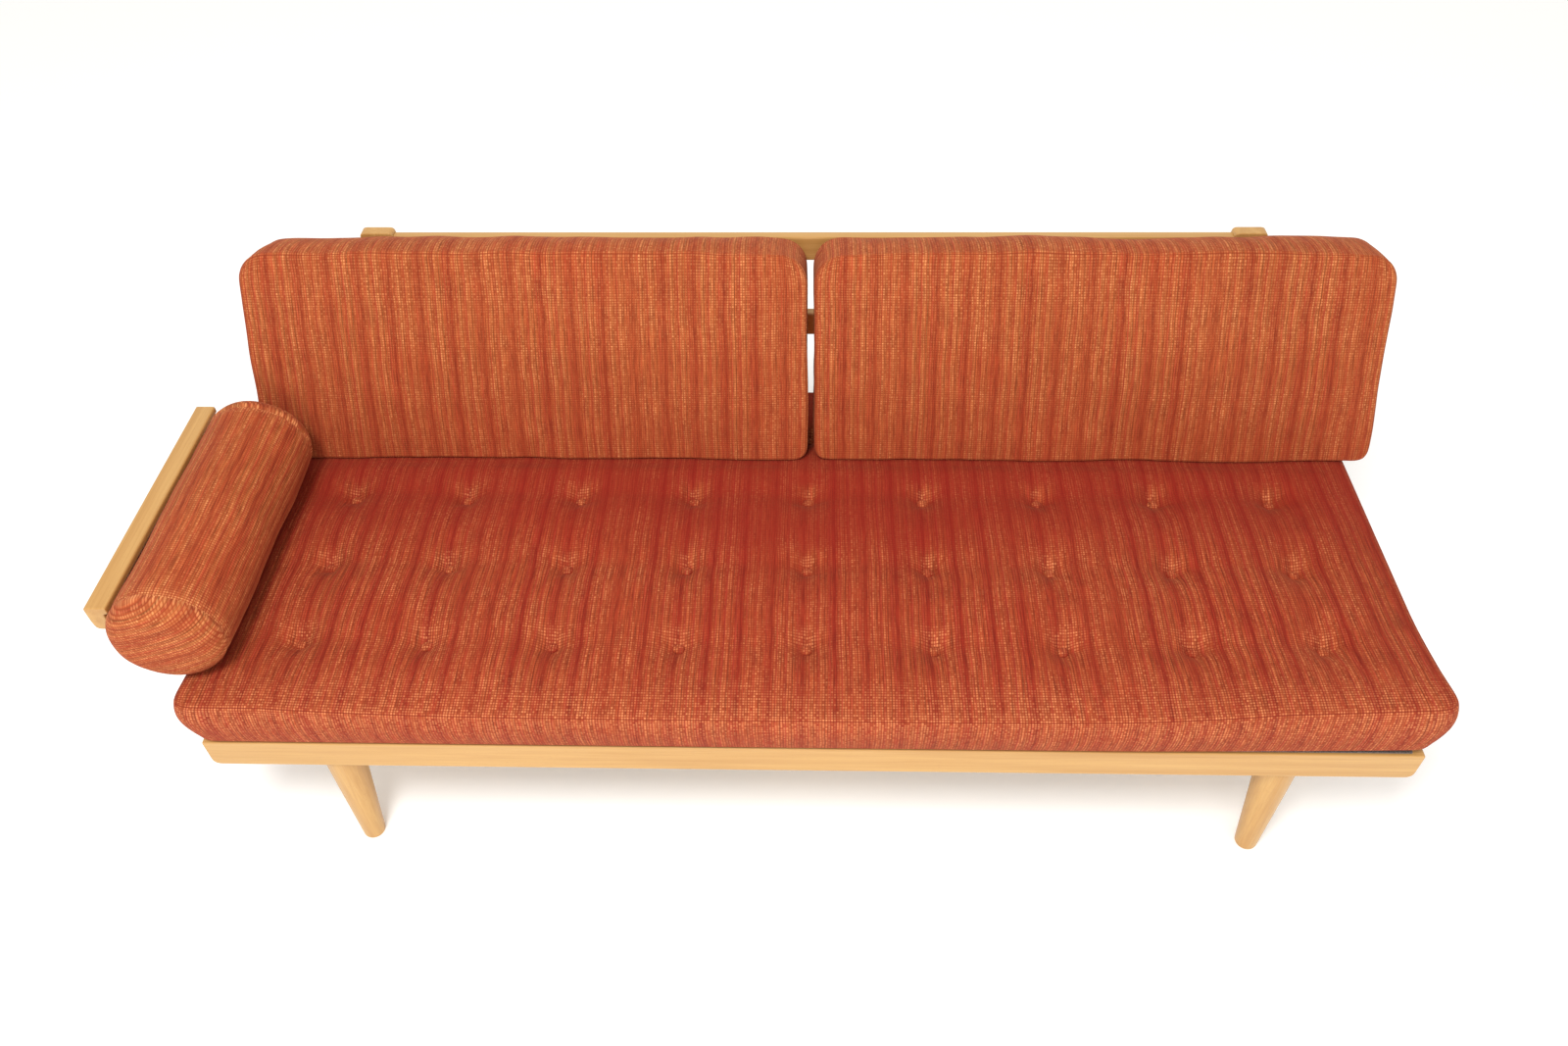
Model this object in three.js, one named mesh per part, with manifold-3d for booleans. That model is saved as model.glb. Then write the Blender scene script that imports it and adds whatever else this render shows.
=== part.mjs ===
/*
 * Daybed: a beech frame on four turned legs, a slatted base with a felt underlay, a buttoned box
 * mattress, a back frame that lifts out of two steel cups, two loose back cushions, and an arm at
 * one end that lifts out of two steel sleeves and keeps a bolster on the mattress.
 *
 * Millimetres, +Z up. While it is built, X = 0 is the middle of the frame, Y = 0 is the front face
 * of the front rail and Z = 0 is the floor. The finished group is moved so that the origin is the
 * middle of the object's footprint.
 */
import * as THREE from 'three';
import { mergeVertices } from 'three/addons/utils/BufferGeometryUtils.js';
import Module from 'manifold-3d';

const manifold = await Module();
manifold.setup();

// ---------------------------------------------------------------- driving dimensions
const GAP = 0.3; // between touching pieces

const FRAME_LENGTH = 1900;
const FRAME_DEPTH = 752;
const RAIL_TOP = 316;
const RAIL_HEIGHT = 60;
const RAIL_THICKNESS = 24;
const RAIL_END_RADIUS = 14; // bottom corners of the frame, seen from the front
const RAIL_EASE = 2; // rounding of the long edges

const BEARER_WIDTH = 84;
const BEARER_HEIGHT = 27.7;
const LEDGER_WIDTH = 20;
const LEDGER_HEIGHT = 19.7;
const SLAT_COUNT = 12;
const SLAT_WIDTH = 70;
const SLAT_THICKNESS = 11.7;
const SLAT_SPAN = 1700; // centre of the first slat to centre of the last
const UNDERLAY_THICKNESS = 4.7;
const UNDERLAY_LENGTH = 1860;
const UNDERLAY_DEPTH = 744;

const LEG_TOP_X = 757; // leg axis at the underside of the frame, from the middle
const LEG_FOOT_X = 765;
const LEG_TOP_Y = 40; // from the front or rear face of the frame
const LEG_FOOT_Y = 32;
const LEG_TOP_RADIUS = 32;
const LEG_FOOT_RADIUS = 18.5;
const LEG_FOOT_ROUNDING = 5;
const PLATE_THICKNESS = 3;
const PLATE_WIDTH = 84;
const PLATE_DEPTH = 68;
const BOLT_RADIUS = 5;
const BOLT_LENGTH = 62;
const BOLT_ABOVE_PLATE = 22;

const UPRIGHT_X = 756; // centre of each back upright from the middle
const UPRIGHT_WIDTH = 58;
const UPRIGHT_THICKNESS = 22;
const UPRIGHT_TOP = 758.5;
const UPRIGHT_TOP_RADIUS = 9;
const BACK_RAIL_THICKNESS = 18;
const BACK_RAIL_HEIGHT = 47;
const BACK_RAIL_TOPS = { back_top_rail: 751, back_lower_rail: 590 };
const HOUSING_DEPTH = 12; // how far the back rails enter the uprights

const STEEL = 3; // wall of the cups and sleeves
const CUP_HEIGHT = 46;
const CUP_BOTTOM = 258;
const EAR = 21; // screw ear on each side of a cup or sleeve
const SCREW_HEAD_RADIUS = 4.6;
const SCREW_RADIUS = 1.9;
const SCREW_LENGTH = 15;
const SCREW_CLEARANCE = 0.4;

const ARM_RAIL_TOP = 540;
const ARM_RAIL_HEIGHT = 48;
const ARM_RAIL_OUTER_X = -1078;
const ARM_RAIL_WIDTH = 34;
const ARM_RAIL_START_Y = 85;
const ARM_RAIL_END_Y = 549;
const ARM_POST_INSET = 76; // post centre from each end of the arm rail
const ARM_POST_FOOT = new THREE.Vector3(-970, 0, 275);
const ARM_POST_HEAD = new THREE.Vector3(-1065, 0, 492);
const ARM_POST_WIDTH = 36;
const ARM_POST_THICKNESS = 18;
const TENON_LENGTH = 13;
const TENON_WIDTH = 24;
const TENON_THICKNESS = 9;
const SLEEVE_HEIGHT = 42;

const MATTRESS_LENGTH = 1916;
const MATTRESS_FRONT = -6;
const MATTRESS_BACK = 750;
const MATTRESS_TOP = 418;
const MATTRESS_ROUNDING = 22;

const CUSHION_LENGTH = 950;
const CUSHION_CENTRES = { back_cushion_left: -480, back_cushion_right: 487 };
const CUSHION_FRONT_FOOT_Y = 533; // lower front edge, on the mattress
const CUSHION_FRONT_HEAD = { y: 629, z: 789 };
const CUSHION_BACK_HEAD = { y: 746, z: 761 };
const CUSHION_ROUNDING = 18;

const BOLSTER_RADIUS = 85;
const BOLSTER_X = -956;
const BOLSTER_START_Y = 34;
const BOLSTER_END_Y = 530;
const BOLSTER_END_ROUNDING = 30;

// ---------------------------------------------------------------- finishes
const beech = new THREE.MeshStandardMaterial({ color: '#d9a763', roughness: 0.45, metalness: 0 });
const slatWood = new THREE.MeshStandardMaterial({ color: '#d8b684', roughness: 0.7, metalness: 0 });
const steel = new THREE.MeshStandardMaterial({ color: '#8a8c8e', roughness: 0.4, metalness: 1 });
const brass = new THREE.MeshStandardMaterial({ color: '#b08d4a', roughness: 0.35, metalness: 1 });
const felt = new THREE.MeshStandardMaterial({ color: '#4b4744', roughness: 1, metalness: 0 });
const seatWool = new THREE.MeshStandardMaterial({ color: '#a8442a', roughness: 0.95, metalness: 0 });
const backWool = new THREE.MeshStandardMaterial({ color: '#b9552f', roughness: 0.95, metalness: 0 });

// ---------------------------------------------------------------- shapes and solids
/** Closed outline through corner points [x, y, radius], each corner rounded by its radius. */
function roundedOutline(corners) {
  const shape = new THREE.Shape();
  corners.forEach(([x, y, radius], index) => {
    const corner = new THREE.Vector2(x, y);
    const before = new THREE.Vector2(...corners[(index + corners.length - 1) % corners.length]);
    const after = new THREE.Vector2(...corners[(index + 1) % corners.length]);
    const toBefore = before.sub(corner).normalize();
    const toAfter = after.sub(corner).normalize();
    const halfAngle = Math.acos(THREE.MathUtils.clamp(toBefore.dot(toAfter), -1, 1)) / 2;
    const reach = radius / Math.tan(halfAngle);
    const start = corner.clone().addScaledVector(toBefore, reach);
    const end = corner.clone().addScaledVector(toAfter, reach);
    if (index === 0) shape.moveTo(start.x, start.y);
    else shape.lineTo(start.x, start.y);
    if (radius > 0) shape.quadraticCurveTo(corner.x, corner.y, end.x, end.y);
  });
  shape.closePath();
  return shape;
}

function rectangle(width, height, radius) {
  const [x, y] = [width / 2, height / 2];
  return roundedOutline([[-x, -y, radius], [x, -y, radius], [x, y, radius], [-x, y, radius]]);
}

/** Extrusion along +Z from 0 to depth, with its end edges rounded by ease. */
function extrude(shape, depth, ease = 0, curveSegments = 3, easeSegments = 2) {
  const geometry = new THREE.ExtrudeGeometry(shape, {
    depth: depth - 2 * ease,
    curveSegments,
    bevelEnabled: ease > 0,
    bevelThickness: ease,
    bevelSize: ease,
    bevelOffset: -ease,
    bevelSegments: easeSegments,
  });
  geometry.translate(0, 0, ease);
  return geometry;
}

/** Turns an outline drawn in X and Z, extruded along Z, into one that runs along Y from y = 0. */
function alongY(geometry, depth) {
  geometry.rotateX(Math.PI / 2);
  geometry.translate(0, depth, 0);
  return geometry;
}

/** Bar along X, centred on the origin, with the section width (Y) by height (Z). */
function barAlongX(length, width, height, radius, ease = 1) {
  const geometry = extrude(rectangle(width, height, radius), length, ease, 2, 1);
  geometry.translate(0, 0, -length / 2);
  const turn = new THREE.Matrix4().makeBasis(
    new THREE.Vector3(0, 1, 0), new THREE.Vector3(0, 0, 1), new THREE.Vector3(1, 0, 0));
  geometry.applyMatrix4(turn);
  return geometry;
}

/** Bar along Y, centred on the origin, with the section width (X) by height (Z). */
function barAlongY(length, width, height, radius, ease = 1) {
  const geometry = barAlongX(length, width, height, radius, ease);
  geometry.rotateZ(Math.PI / 2);
  return geometry;
}

function block(from, to) {
  const size = to.map((value, axis) => value - from[axis]);
  const geometry = new THREE.BoxGeometry(...size);
  geometry.translate(...from.map((value, axis) => value + size[axis] / 2));
  return geometry;
}

function toSolid(geometry) {
  const bare = geometry.clone();
  bare.deleteAttribute('normal');
  bare.deleteAttribute('uv');
  const merged = mergeVertices(bare, 1e-4);
  return new manifold.Manifold(new manifold.Mesh({
    numProp: 3,
    vertProperties: new Float32Array(merged.attributes.position.array),
    triVerts: new Uint32Array(merged.index.array),
  }));
}

function toGeometry(solid) {
  const mesh = solid.getMesh();
  const geometry = new THREE.BufferGeometry();
  geometry.setAttribute('position', new THREE.BufferAttribute(mesh.vertProperties, 3));
  geometry.setIndex(new THREE.BufferAttribute(mesh.triVerts, 1));
  geometry.computeVertexNormals();
  return geometry;
}

function cut(geometry, ...cutters) {
  return toGeometry(cutters.reduce((solid, cutter) => solid.subtract(toSolid(cutter)), toSolid(geometry)));
}

function join(...geometries) {
  return toGeometry(geometries.map(toSolid).reduce((solid, next) => solid.add(next)));
}

/** Cylinder whose axis runs from one point to another. */
function rod(from, to, radius, sides = 12) {
  const axis = to.clone().sub(from);
  const geometry = new THREE.CylinderGeometry(radius, radius, axis.length(), sides);
  const up = new THREE.Vector3(0, 1, 0);
  geometry.applyQuaternion(new THREE.Quaternion().setFromUnitVectors(up, axis.clone().normalize()));
  geometry.translate(...from.clone().add(to).multiplyScalar(0.5).toArray());
  return geometry;
}

const daybed = new THREE.Group();

function addPiece(name, geometry, material, x = 0, y = 0, z = 0, parent = daybed) {
  const mesh = new THREE.Mesh(geometry, material);
  mesh.name = name;
  mesh.position.set(x, y, z);
  parent.add(mesh);
  return mesh;
}

// ---------------------------------------------------------------- fasteners
/** Pan-head screw whose head rests on a face at z = 0 and whose shank runs down to -length. */
function screwGeometry() {
  const dome = new THREE.EllipseCurve(0, 0, SCREW_HEAD_RADIUS, 2.6, 0, Math.PI / 2).getPoints(4);
  const profile = [
    new THREE.Vector2(0, -SCREW_LENGTH),
    new THREE.Vector2(SCREW_RADIUS, -SCREW_LENGTH + 3),
    new THREE.Vector2(SCREW_RADIUS, 0),
    ...dome.map((point) => (point.x < 1e-6 ? new THREE.Vector2(0, point.y) : point)),
  ];
  const geometry = new THREE.LatheGeometry(profile, 12);
  geometry.rotateX(Math.PI / 2);
  return geometry;
}

const screwHole = (from, to) => rod(from, to, SCREW_RADIUS + SCREW_CLEARANCE, 8);

/** Where the screws of the back cups go: x either side of an upright, at the middle of the cup. */
const cupScrewOffset = UPRIGHT_WIDTH / 2 + GAP + STEEL + EAR / 2;
const cupScrewHeight = CUP_BOTTOM + CUP_HEIGHT / 2;
const sleeveScrewOffset = ARM_POST_WIDTH / 2 + GAP + STEEL + EAR / 2;
const sleeveScrewHeight = 292;

// ---------------------------------------------------------------- frame
/** Long rail seen from the front: square top corners, rounded bottom corners. */
function longRail() {
  const half = FRAME_LENGTH / 2;
  const outline = roundedOutline([
    [-half, -RAIL_HEIGHT, RAIL_END_RADIUS], [half, -RAIL_HEIGHT, RAIL_END_RADIUS],
    [half, 0, 4], [-half, 0, 4],
  ]);
  return alongY(extrude(outline, RAIL_THICKNESS, RAIL_EASE, 5, 2), RAIL_THICKNESS);
}

function addLongRails() {
  addPiece('front_rail', longRail(), beech, 0, 0, RAIL_TOP);
  const holes = [-1, 1].flatMap((side) => [-1, 1].map((ear) => {
    const x = side * UPRIGHT_X + ear * cupScrewOffset;
    const z = cupScrewHeight - RAIL_TOP;
    const depth = RAIL_THICKNESS - SCREW_LENGTH + STEEL - 1;
    return screwHole(new THREE.Vector3(x, depth, z), new THREE.Vector3(x, RAIL_THICKNESS + 5, z));
  }));
  addPiece('rear_rail', cut(longRail(), ...holes), beech, 0, FRAME_DEPTH - RAIL_THICKNESS, RAIL_TOP);
}

/** End rail between the long rails. Its outer bottom edge carries on their rounded corner. */
function addEndRails() {
  const length = FRAME_DEPTH - 2 * RAIL_THICKNESS - 2 * GAP;
  for (const [name, side] of [['end_rail_left', -1], ['end_rail_right', 1]]) {
    const corners = [
      [-RAIL_THICKNESS, -RAIL_HEIGHT, 2], [0, -RAIL_HEIGHT, RAIL_END_RADIUS], [0, 0, 4], [-RAIL_THICKNESS, 0, 2],
    ];
    let geometry = alongY(extrude(roundedOutline(corners), length, 0, 5), length);
    if (side < 0) geometry.rotateZ(Math.PI).translate(0, length, 0);
    if (side < 0) geometry = cut(geometry, ...armScrewHoles());
    addPiece(name, geometry, beech, side * FRAME_LENGTH / 2, RAIL_THICKNESS + GAP, RAIL_TOP);
  }
}

/** Pilot holes for the sleeve screws, in the left end rail's own frame. */
function armScrewHoles() {
  const z = sleeveScrewHeight - RAIL_TOP;
  return armPostPlaces().flatMap((postY) => [-1, 1].map((ear) => {
    const y = postY + ear * sleeveScrewOffset - RAIL_THICKNESS - GAP;
    return screwHole(new THREE.Vector3(-5, y, z), new THREE.Vector3(SCREW_LENGTH - STEEL + 1, y, z));
  }));
}

function addBase() {
  const inside = FRAME_DEPTH - 2 * RAIL_THICKNESS - 2 * GAP;
  const bottom = RAIL_TOP - RAIL_HEIGHT;
  const middleY = FRAME_DEPTH / 2;
  const bearers = { bearer_left: -LEG_TOP_X, bearer_middle: 0, bearer_right: LEG_TOP_X };
  for (const [name, x] of Object.entries(bearers)) {
    let geometry = barAlongY(inside, BEARER_WIDTH, BEARER_HEIGHT, 1.5);
    if (x !== 0) geometry = cut(geometry, ...bearerBoltHoles(x));
    addPiece(name, geometry, beech, x, middleY, bottom + BEARER_HEIGHT / 2);
  }
  const ledgerLength = FRAME_LENGTH - 2 * RAIL_THICKNESS - 2 * GAP;
  const ledgerZ = bottom + BEARER_HEIGHT + GAP + LEDGER_HEIGHT / 2;
  const ledgerY = RAIL_THICKNESS + GAP + LEDGER_WIDTH / 2;
  const ledgers = { slat_ledger_front: ledgerY, slat_ledger_rear: FRAME_DEPTH - ledgerY };
  for (const [name, y] of Object.entries(ledgers)) {
    addPiece(name, barAlongX(ledgerLength, LEDGER_WIDTH, LEDGER_HEIGHT, 1.5), beech, 0, y, ledgerZ);
  }
  const slatZ = RAIL_TOP - GAP - SLAT_THICKNESS / 2;
  for (let index = 0; index < SLAT_COUNT; index += 1) {
    const x = -SLAT_SPAN / 2 + (SLAT_SPAN * index) / (SLAT_COUNT - 1);
    const slat = barAlongY(inside - 2 * GAP, SLAT_WIDTH, SLAT_THICKNESS, 2.5);
    addPiece(`slat_${String(index + 1).padStart(2, '0')}`, slat, slatWood, x, middleY, slatZ);
  }
  const underlay = alongY(extrude(rectangle(UNDERLAY_LENGTH, UNDERLAY_THICKNESS, 1), UNDERLAY_DEPTH, 0, 1),
    UNDERLAY_DEPTH);
  const underlayZ = RAIL_TOP + GAP + UNDERLAY_THICKNESS / 2;
  addPiece('felt_underlay', underlay, felt, 0, (FRAME_DEPTH - UNDERLAY_DEPTH) / 2, underlayZ);
}

// ---------------------------------------------------------------- legs
/** The four legs as [name, side in x, true at the back]. */
const LEG_PLACES = [
  ['front_left', -1, false], ['front_right', 1, false], ['rear_left', -1, true], ['rear_right', 1, true],
];

function legAxis(side, rear) {
  const place = (offset) => (rear ? FRAME_DEPTH - offset : offset);
  const head = new THREE.Vector3(side * LEG_TOP_X, place(LEG_TOP_Y), RAIL_TOP - RAIL_HEIGHT);
  const foot = new THREE.Vector3(side * LEG_FOOT_X, place(LEG_FOOT_Y), 0);
  return { head, foot, along: head.clone().sub(foot).normalize() };
}

function bearerBoltHoles(x) {
  return [LEG_TOP_Y, FRAME_DEPTH - LEG_TOP_Y].map((y) => {
    const low = new THREE.Vector3(0, y - FRAME_DEPTH / 2, -BEARER_HEIGHT);
    const high = new THREE.Vector3(0, y - FRAME_DEPTH / 2, BOLT_ABOVE_PLATE - BEARER_HEIGHT / 2);
    return rod(low, high, BOLT_RADIUS + 1.6, 16);
  });
}

/** Turned leg: tapered, foot edge rounded, both ends cut level, bored for its bolt. */
function legGeometry({ head, foot, along }) {
  const length = head.distanceTo(foot);
  const rounding = new THREE.EllipseCurve(LEG_FOOT_RADIUS - LEG_FOOT_ROUNDING, LEG_FOOT_ROUNDING - 1,
    LEG_FOOT_ROUNDING, LEG_FOOT_ROUNDING, -Math.PI / 2, 0).getPoints(4);
  const profile = [
    new THREE.Vector2(0, -1), ...rounding,
    new THREE.Vector2(LEG_TOP_RADIUS - 3, length * 0.72),
    new THREE.Vector2(LEG_TOP_RADIUS, length * 0.93),
    new THREE.Vector2(LEG_TOP_RADIUS, length + 6), new THREE.Vector2(0, length + 6),
  ];
  const geometry = new THREE.LatheGeometry(profile, 28);
  geometry.rotateX(Math.PI / 2);
  geometry.applyQuaternion(new THREE.Quaternion().setFromUnitVectors(new THREE.Vector3(0, 0, 1), along));
  geometry.translate(...foot.toArray());
  const top = head.z - GAP - PLATE_THICKNESS - GAP;
  const reach = 120;
  const floor = block([foot.x - reach, foot.y - reach, -20], [foot.x + reach, foot.y + reach, 0]);
  const ceiling = block([head.x - reach, head.y - reach, top], [head.x + reach, head.y + reach, top + 40]);
  const boreFoot = head.clone().addScaledVector(along, BOLT_ABOVE_PLATE - BOLT_LENGTH - 1);
  const bore = rod(boreFoot, head, BOLT_RADIUS + GAP, 16);
  return cut(geometry, floor, ceiling, bore);
}

function addLegs() {
  for (const [place, side, rear] of LEG_PLACES) {
    const axis = legAxis(side, rear);
    addPiece(`leg_${place}`, legGeometry(axis), beech);
    const high = axis.head.z - GAP;
    const plate = extrude(rectangle(PLATE_WIDTH, PLATE_DEPTH, 8), PLATE_THICKNESS, 0, 3);
    plate.translate(axis.head.x, axis.head.y, high - PLATE_THICKNESS);
    const below = new THREE.Vector3(axis.head.x, axis.head.y, high - PLATE_THICKNESS - 5);
    const above = new THREE.Vector3(axis.head.x, axis.head.y, high + 5);
    addPiece(`leg_plate_${place}`, cut(plate, rod(below, above, BOLT_RADIUS + 1.2, 16)), steel);
    const boltTop = axis.head.clone().addScaledVector(axis.along, BOLT_ABOVE_PLATE - 2);
    const boltFoot = boltTop.clone().addScaledVector(axis.along, 2 - BOLT_LENGTH);
    addPiece(`leg_bolt_${place}`, rod(boltFoot, boltTop, BOLT_RADIUS, 12), steel);
  }
}

// ---------------------------------------------------------------- back frame and its cups
const UPRIGHT_BACK_Y = FRAME_DEPTH + GAP + STEEL + GAP; // front face of the uprights
const UPRIGHT_FOOT = CUP_BOTTOM + STEEL + GAP;

function uprightGeometry(side) {
  const half = UPRIGHT_WIDTH / 2;
  const outline = roundedOutline([
    [-half, UPRIGHT_FOOT, 4], [half, UPRIGHT_FOOT, 4],
    [half, UPRIGHT_TOP, UPRIGHT_TOP_RADIUS], [-half, UPRIGHT_TOP, UPRIGHT_TOP_RADIUS],
  ]);
  const geometry = alongY(extrude(outline, UPRIGHT_THICKNESS, 2, 4, 2), UPRIGHT_THICKNESS);
  const inner = -side * (half - HOUSING_DEPTH - GAP);
  const outside = -side * (half + 5);
  const housings = Object.values(BACK_RAIL_TOPS).map((top) => block(
    [Math.min(inner, outside), -5, top - BACK_RAIL_HEIGHT - GAP],
    [Math.max(inner, outside), BACK_RAIL_THICKNESS + GAP, top + GAP]));
  return cut(geometry, ...housings);
}

function addBackFrame() {
  addPiece('back_upright_left', uprightGeometry(-1), beech, -UPRIGHT_X, UPRIGHT_BACK_Y, 0);
  addPiece('back_upright_right', uprightGeometry(1), beech, UPRIGHT_X, UPRIGHT_BACK_Y, 0);
  const length = 2 * (UPRIGHT_X - UPRIGHT_WIDTH / 2 + HOUSING_DEPTH);
  for (const [name, top] of Object.entries(BACK_RAIL_TOPS)) {
    const rail = barAlongX(length, BACK_RAIL_THICKNESS, BACK_RAIL_HEIGHT, 3);
    const y = UPRIGHT_BACK_Y + BACK_RAIL_THICKNESS / 2;
    addPiece(name, rail, beech, 0, y, top - BACK_RAIL_HEIGHT / 2);
  }
}

/** Steel cup on the rear rail: plate with two ears, and a pocket that holds an upright's foot. */
function cupGeometry() {
  const inner = UPRIGHT_WIDTH / 2 + GAP;
  const plateHalf = inner + STEEL + EAR;
  const depth = STEEL + UPRIGHT_THICKNESS + 2 * GAP;
  const plate = alongY(extrude(roundedOutline([
    [-plateHalf, 0, 8], [plateHalf, 0, 8], [plateHalf, CUP_HEIGHT, 8], [-plateHalf, CUP_HEIGHT, 8],
  ]), STEEL, 0, 3), STEEL);
  const wall = inner + STEEL;
  const pocket = extrude(roundedOutline([[-wall, 0, 0], [wall, 0, 0], [wall, depth + STEEL, 5],
    [-wall, depth + STEEL, 5]]), CUP_HEIGHT, 0, 3);
  const hollow = block([-inner, STEEL, STEEL], [inner, depth, CUP_HEIGHT + 5]);
  const holes = [-1, 1].map((ear) => screwHole(
    new THREE.Vector3(ear * cupScrewOffset, -5, CUP_HEIGHT / 2),
    new THREE.Vector3(ear * cupScrewOffset, STEEL + 5, CUP_HEIGHT / 2)));
  return cut(join(plate, pocket), hollow, ...holes);
}

function addBackCups() {
  for (const [place, side] of [['left', -1], ['right', 1]]) {
    addPiece(`back_cup_${place}`, cupGeometry(), steel, side * UPRIGHT_X, FRAME_DEPTH + GAP, CUP_BOTTOM);
    for (const [ear, offset] of [['a', -1], ['b', 1]]) {
      const screw = screwGeometry();
      screw.rotateX(-Math.PI / 2);
      const x = side * UPRIGHT_X + offset * cupScrewOffset;
      addPiece(`cup_screw_${place}_${ear}`, screw, brass, x, FRAME_DEPTH + GAP + STEEL + 0.1, cupScrewHeight);
    }
  }
}

// ---------------------------------------------------------------- arm and its sleeves
function armPostPlaces() {
  return [ARM_RAIL_START_Y + ARM_POST_INSET, ARM_RAIL_END_Y - ARM_POST_INSET];
}

/** Turns a piece built upright on the origin so that it stands on the post's foot and leans out. */
const postLean = new THREE.Matrix4().compose(
  ARM_POST_FOOT,
  new THREE.Quaternion().setFromUnitVectors(
    new THREE.Vector3(0, 0, 1), ARM_POST_HEAD.clone().sub(ARM_POST_FOOT).normalize()),
  new THREE.Vector3(1, 1, 1));

function leaningBlock(thickness, width, low, high) {
  const geometry = block([-thickness / 2, -width / 2, low], [thickness / 2, width / 2, high]);
  return geometry.applyMatrix4(postLean);
}

const postLength = ARM_POST_HEAD.distanceTo(ARM_POST_FOOT);
const armRailBottom = ARM_RAIL_TOP - ARM_RAIL_HEIGHT;

function tenon(clearance) {
  const thickness = TENON_THICKNESS + 2 * clearance;
  const width = TENON_WIDTH + 2 * clearance;
  return leaningBlock(thickness, width, postLength - 10, postLength + TENON_LENGTH + clearance);
}

function postGeometry() {
  const section = rectangle(ARM_POST_THICKNESS, ARM_POST_WIDTH, 3);
  const post = extrude(section, postLength + 20, 0, 2).applyMatrix4(postLean);
  const above = block([-1200, -60, armRailBottom - GAP], [-900, 60, ARM_RAIL_TOP]);
  return join(cut(post, above), tenon(0));
}

/** Arm rail: flat top, lip towards the bolster, rounded underside. */
function armRailGeometry() {
  const length = ARM_RAIL_END_Y - ARM_RAIL_START_Y;
  const lip = 12;
  const step = 8;
  const outline = roundedOutline([
    [2, -ARM_RAIL_HEIGHT, 9], [ARM_RAIL_WIDTH - step, -ARM_RAIL_HEIGHT, 6],
    [ARM_RAIL_WIDTH - step, -lip - 3, 1], [ARM_RAIL_WIDTH, -lip, 4],
    [ARM_RAIL_WIDTH, 0, 4], [0, 0, 4], [0, -ARM_RAIL_HEIGHT * 0.6, 12],
  ]);
  const rail = alongY(extrude(outline, length, 1.5, 3, 2), length);
  rail.translate(ARM_RAIL_OUTER_X, ARM_RAIL_START_Y, ARM_RAIL_TOP);
  const mortises = armPostPlaces().map((y) => tenon(GAP).translate(0, y, 0));
  return cut(rail, ...mortises);
}

/** Steel sleeve on the end rail: plate with two ears, a wedge, and a leaning pocket for a post. */
function sleeveGeometry() {
  const inner = ARM_POST_WIDTH / 2 + GAP;
  const wall = inner + STEEL;
  const plateX = -FRAME_LENGTH / 2 - GAP;
  const low = 270;
  const high = 313;
  const plateHalf = wall + EAR;
  const outline = roundedOutline([
    [-plateHalf, low, 8], [plateHalf, low, 8], [plateHalf, high, 8], [-plateHalf, high, 8],
  ]);
  const plate = alongY(extrude(outline, STEEL, 0, 3), STEEL).rotateZ(Math.PI / 2).translate(plateX, 0, 0);
  const sleeve = leaningBlock(ARM_POST_THICKNESS + 2 * (GAP + STEEL), 2 * wall, -STEEL - GAP, SLEEVE_HEIGHT);
  const wedgeOutline = roundedOutline([[plateX - 1, low + 2, 0], [plateX - 1, high - 1, 0],
    [plateX - 24, high - 1, 0], [plateX - 12, low + 2, 0]].reverse());
  const wedge = alongY(extrude(wedgeOutline, 2 * wall, 0, 1), 2 * wall).translate(0, -wall, 0);
  const hollow = leaningBlock(ARM_POST_THICKNESS + 2 * GAP, 2 * inner, -GAP, SLEEVE_HEIGHT + 12);
  const holes = [-1, 1].map((ear) => screwHole(
    new THREE.Vector3(plateX - STEEL - 5, ear * sleeveScrewOffset, sleeveScrewHeight),
    new THREE.Vector3(plateX + 5, ear * sleeveScrewOffset, sleeveScrewHeight)));
  return cut(join(plate, sleeve, wedge), hollow, ...holes);
}

function addArm() {
  addPiece('arm_rail', armRailGeometry(), beech);
  armPostPlaces().forEach((y, index) => {
    const place = index === 0 ? 'front' : 'rear';
    addPiece(`arm_post_${place}`, postGeometry(), beech, 0, y, 0);
    addPiece(`arm_sleeve_${place}`, sleeveGeometry(), steel, 0, y, 0);
    for (const [ear, offset] of [['a', -1], ['b', 1]]) {
      const screw = screwGeometry();
      screw.rotateY(-Math.PI / 2);
      const x = -FRAME_LENGTH / 2 - GAP - STEEL - 0.1;
      const name = `sleeve_screw_${place}_${ear}`;
      addPiece(name, screw, brass, x, y + offset * sleeveScrewOffset, sleeveScrewHeight);
    }
  });
}

// ---------------------------------------------------------------- upholstery, as plain solids
function addMattress() {
  const bottom = RAIL_TOP + GAP + UNDERLAY_THICKNESS + GAP;
  const depth = MATTRESS_BACK - MATTRESS_FRONT;
  const outline = rectangle(MATTRESS_LENGTH, depth, 30);
  const mattress = extrude(outline, MATTRESS_TOP - bottom, MATTRESS_ROUNDING, 4, 3);
  addPiece('mattress', mattress, seatWool, 0, MATTRESS_FRONT + depth / 2, bottom);
}

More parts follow.
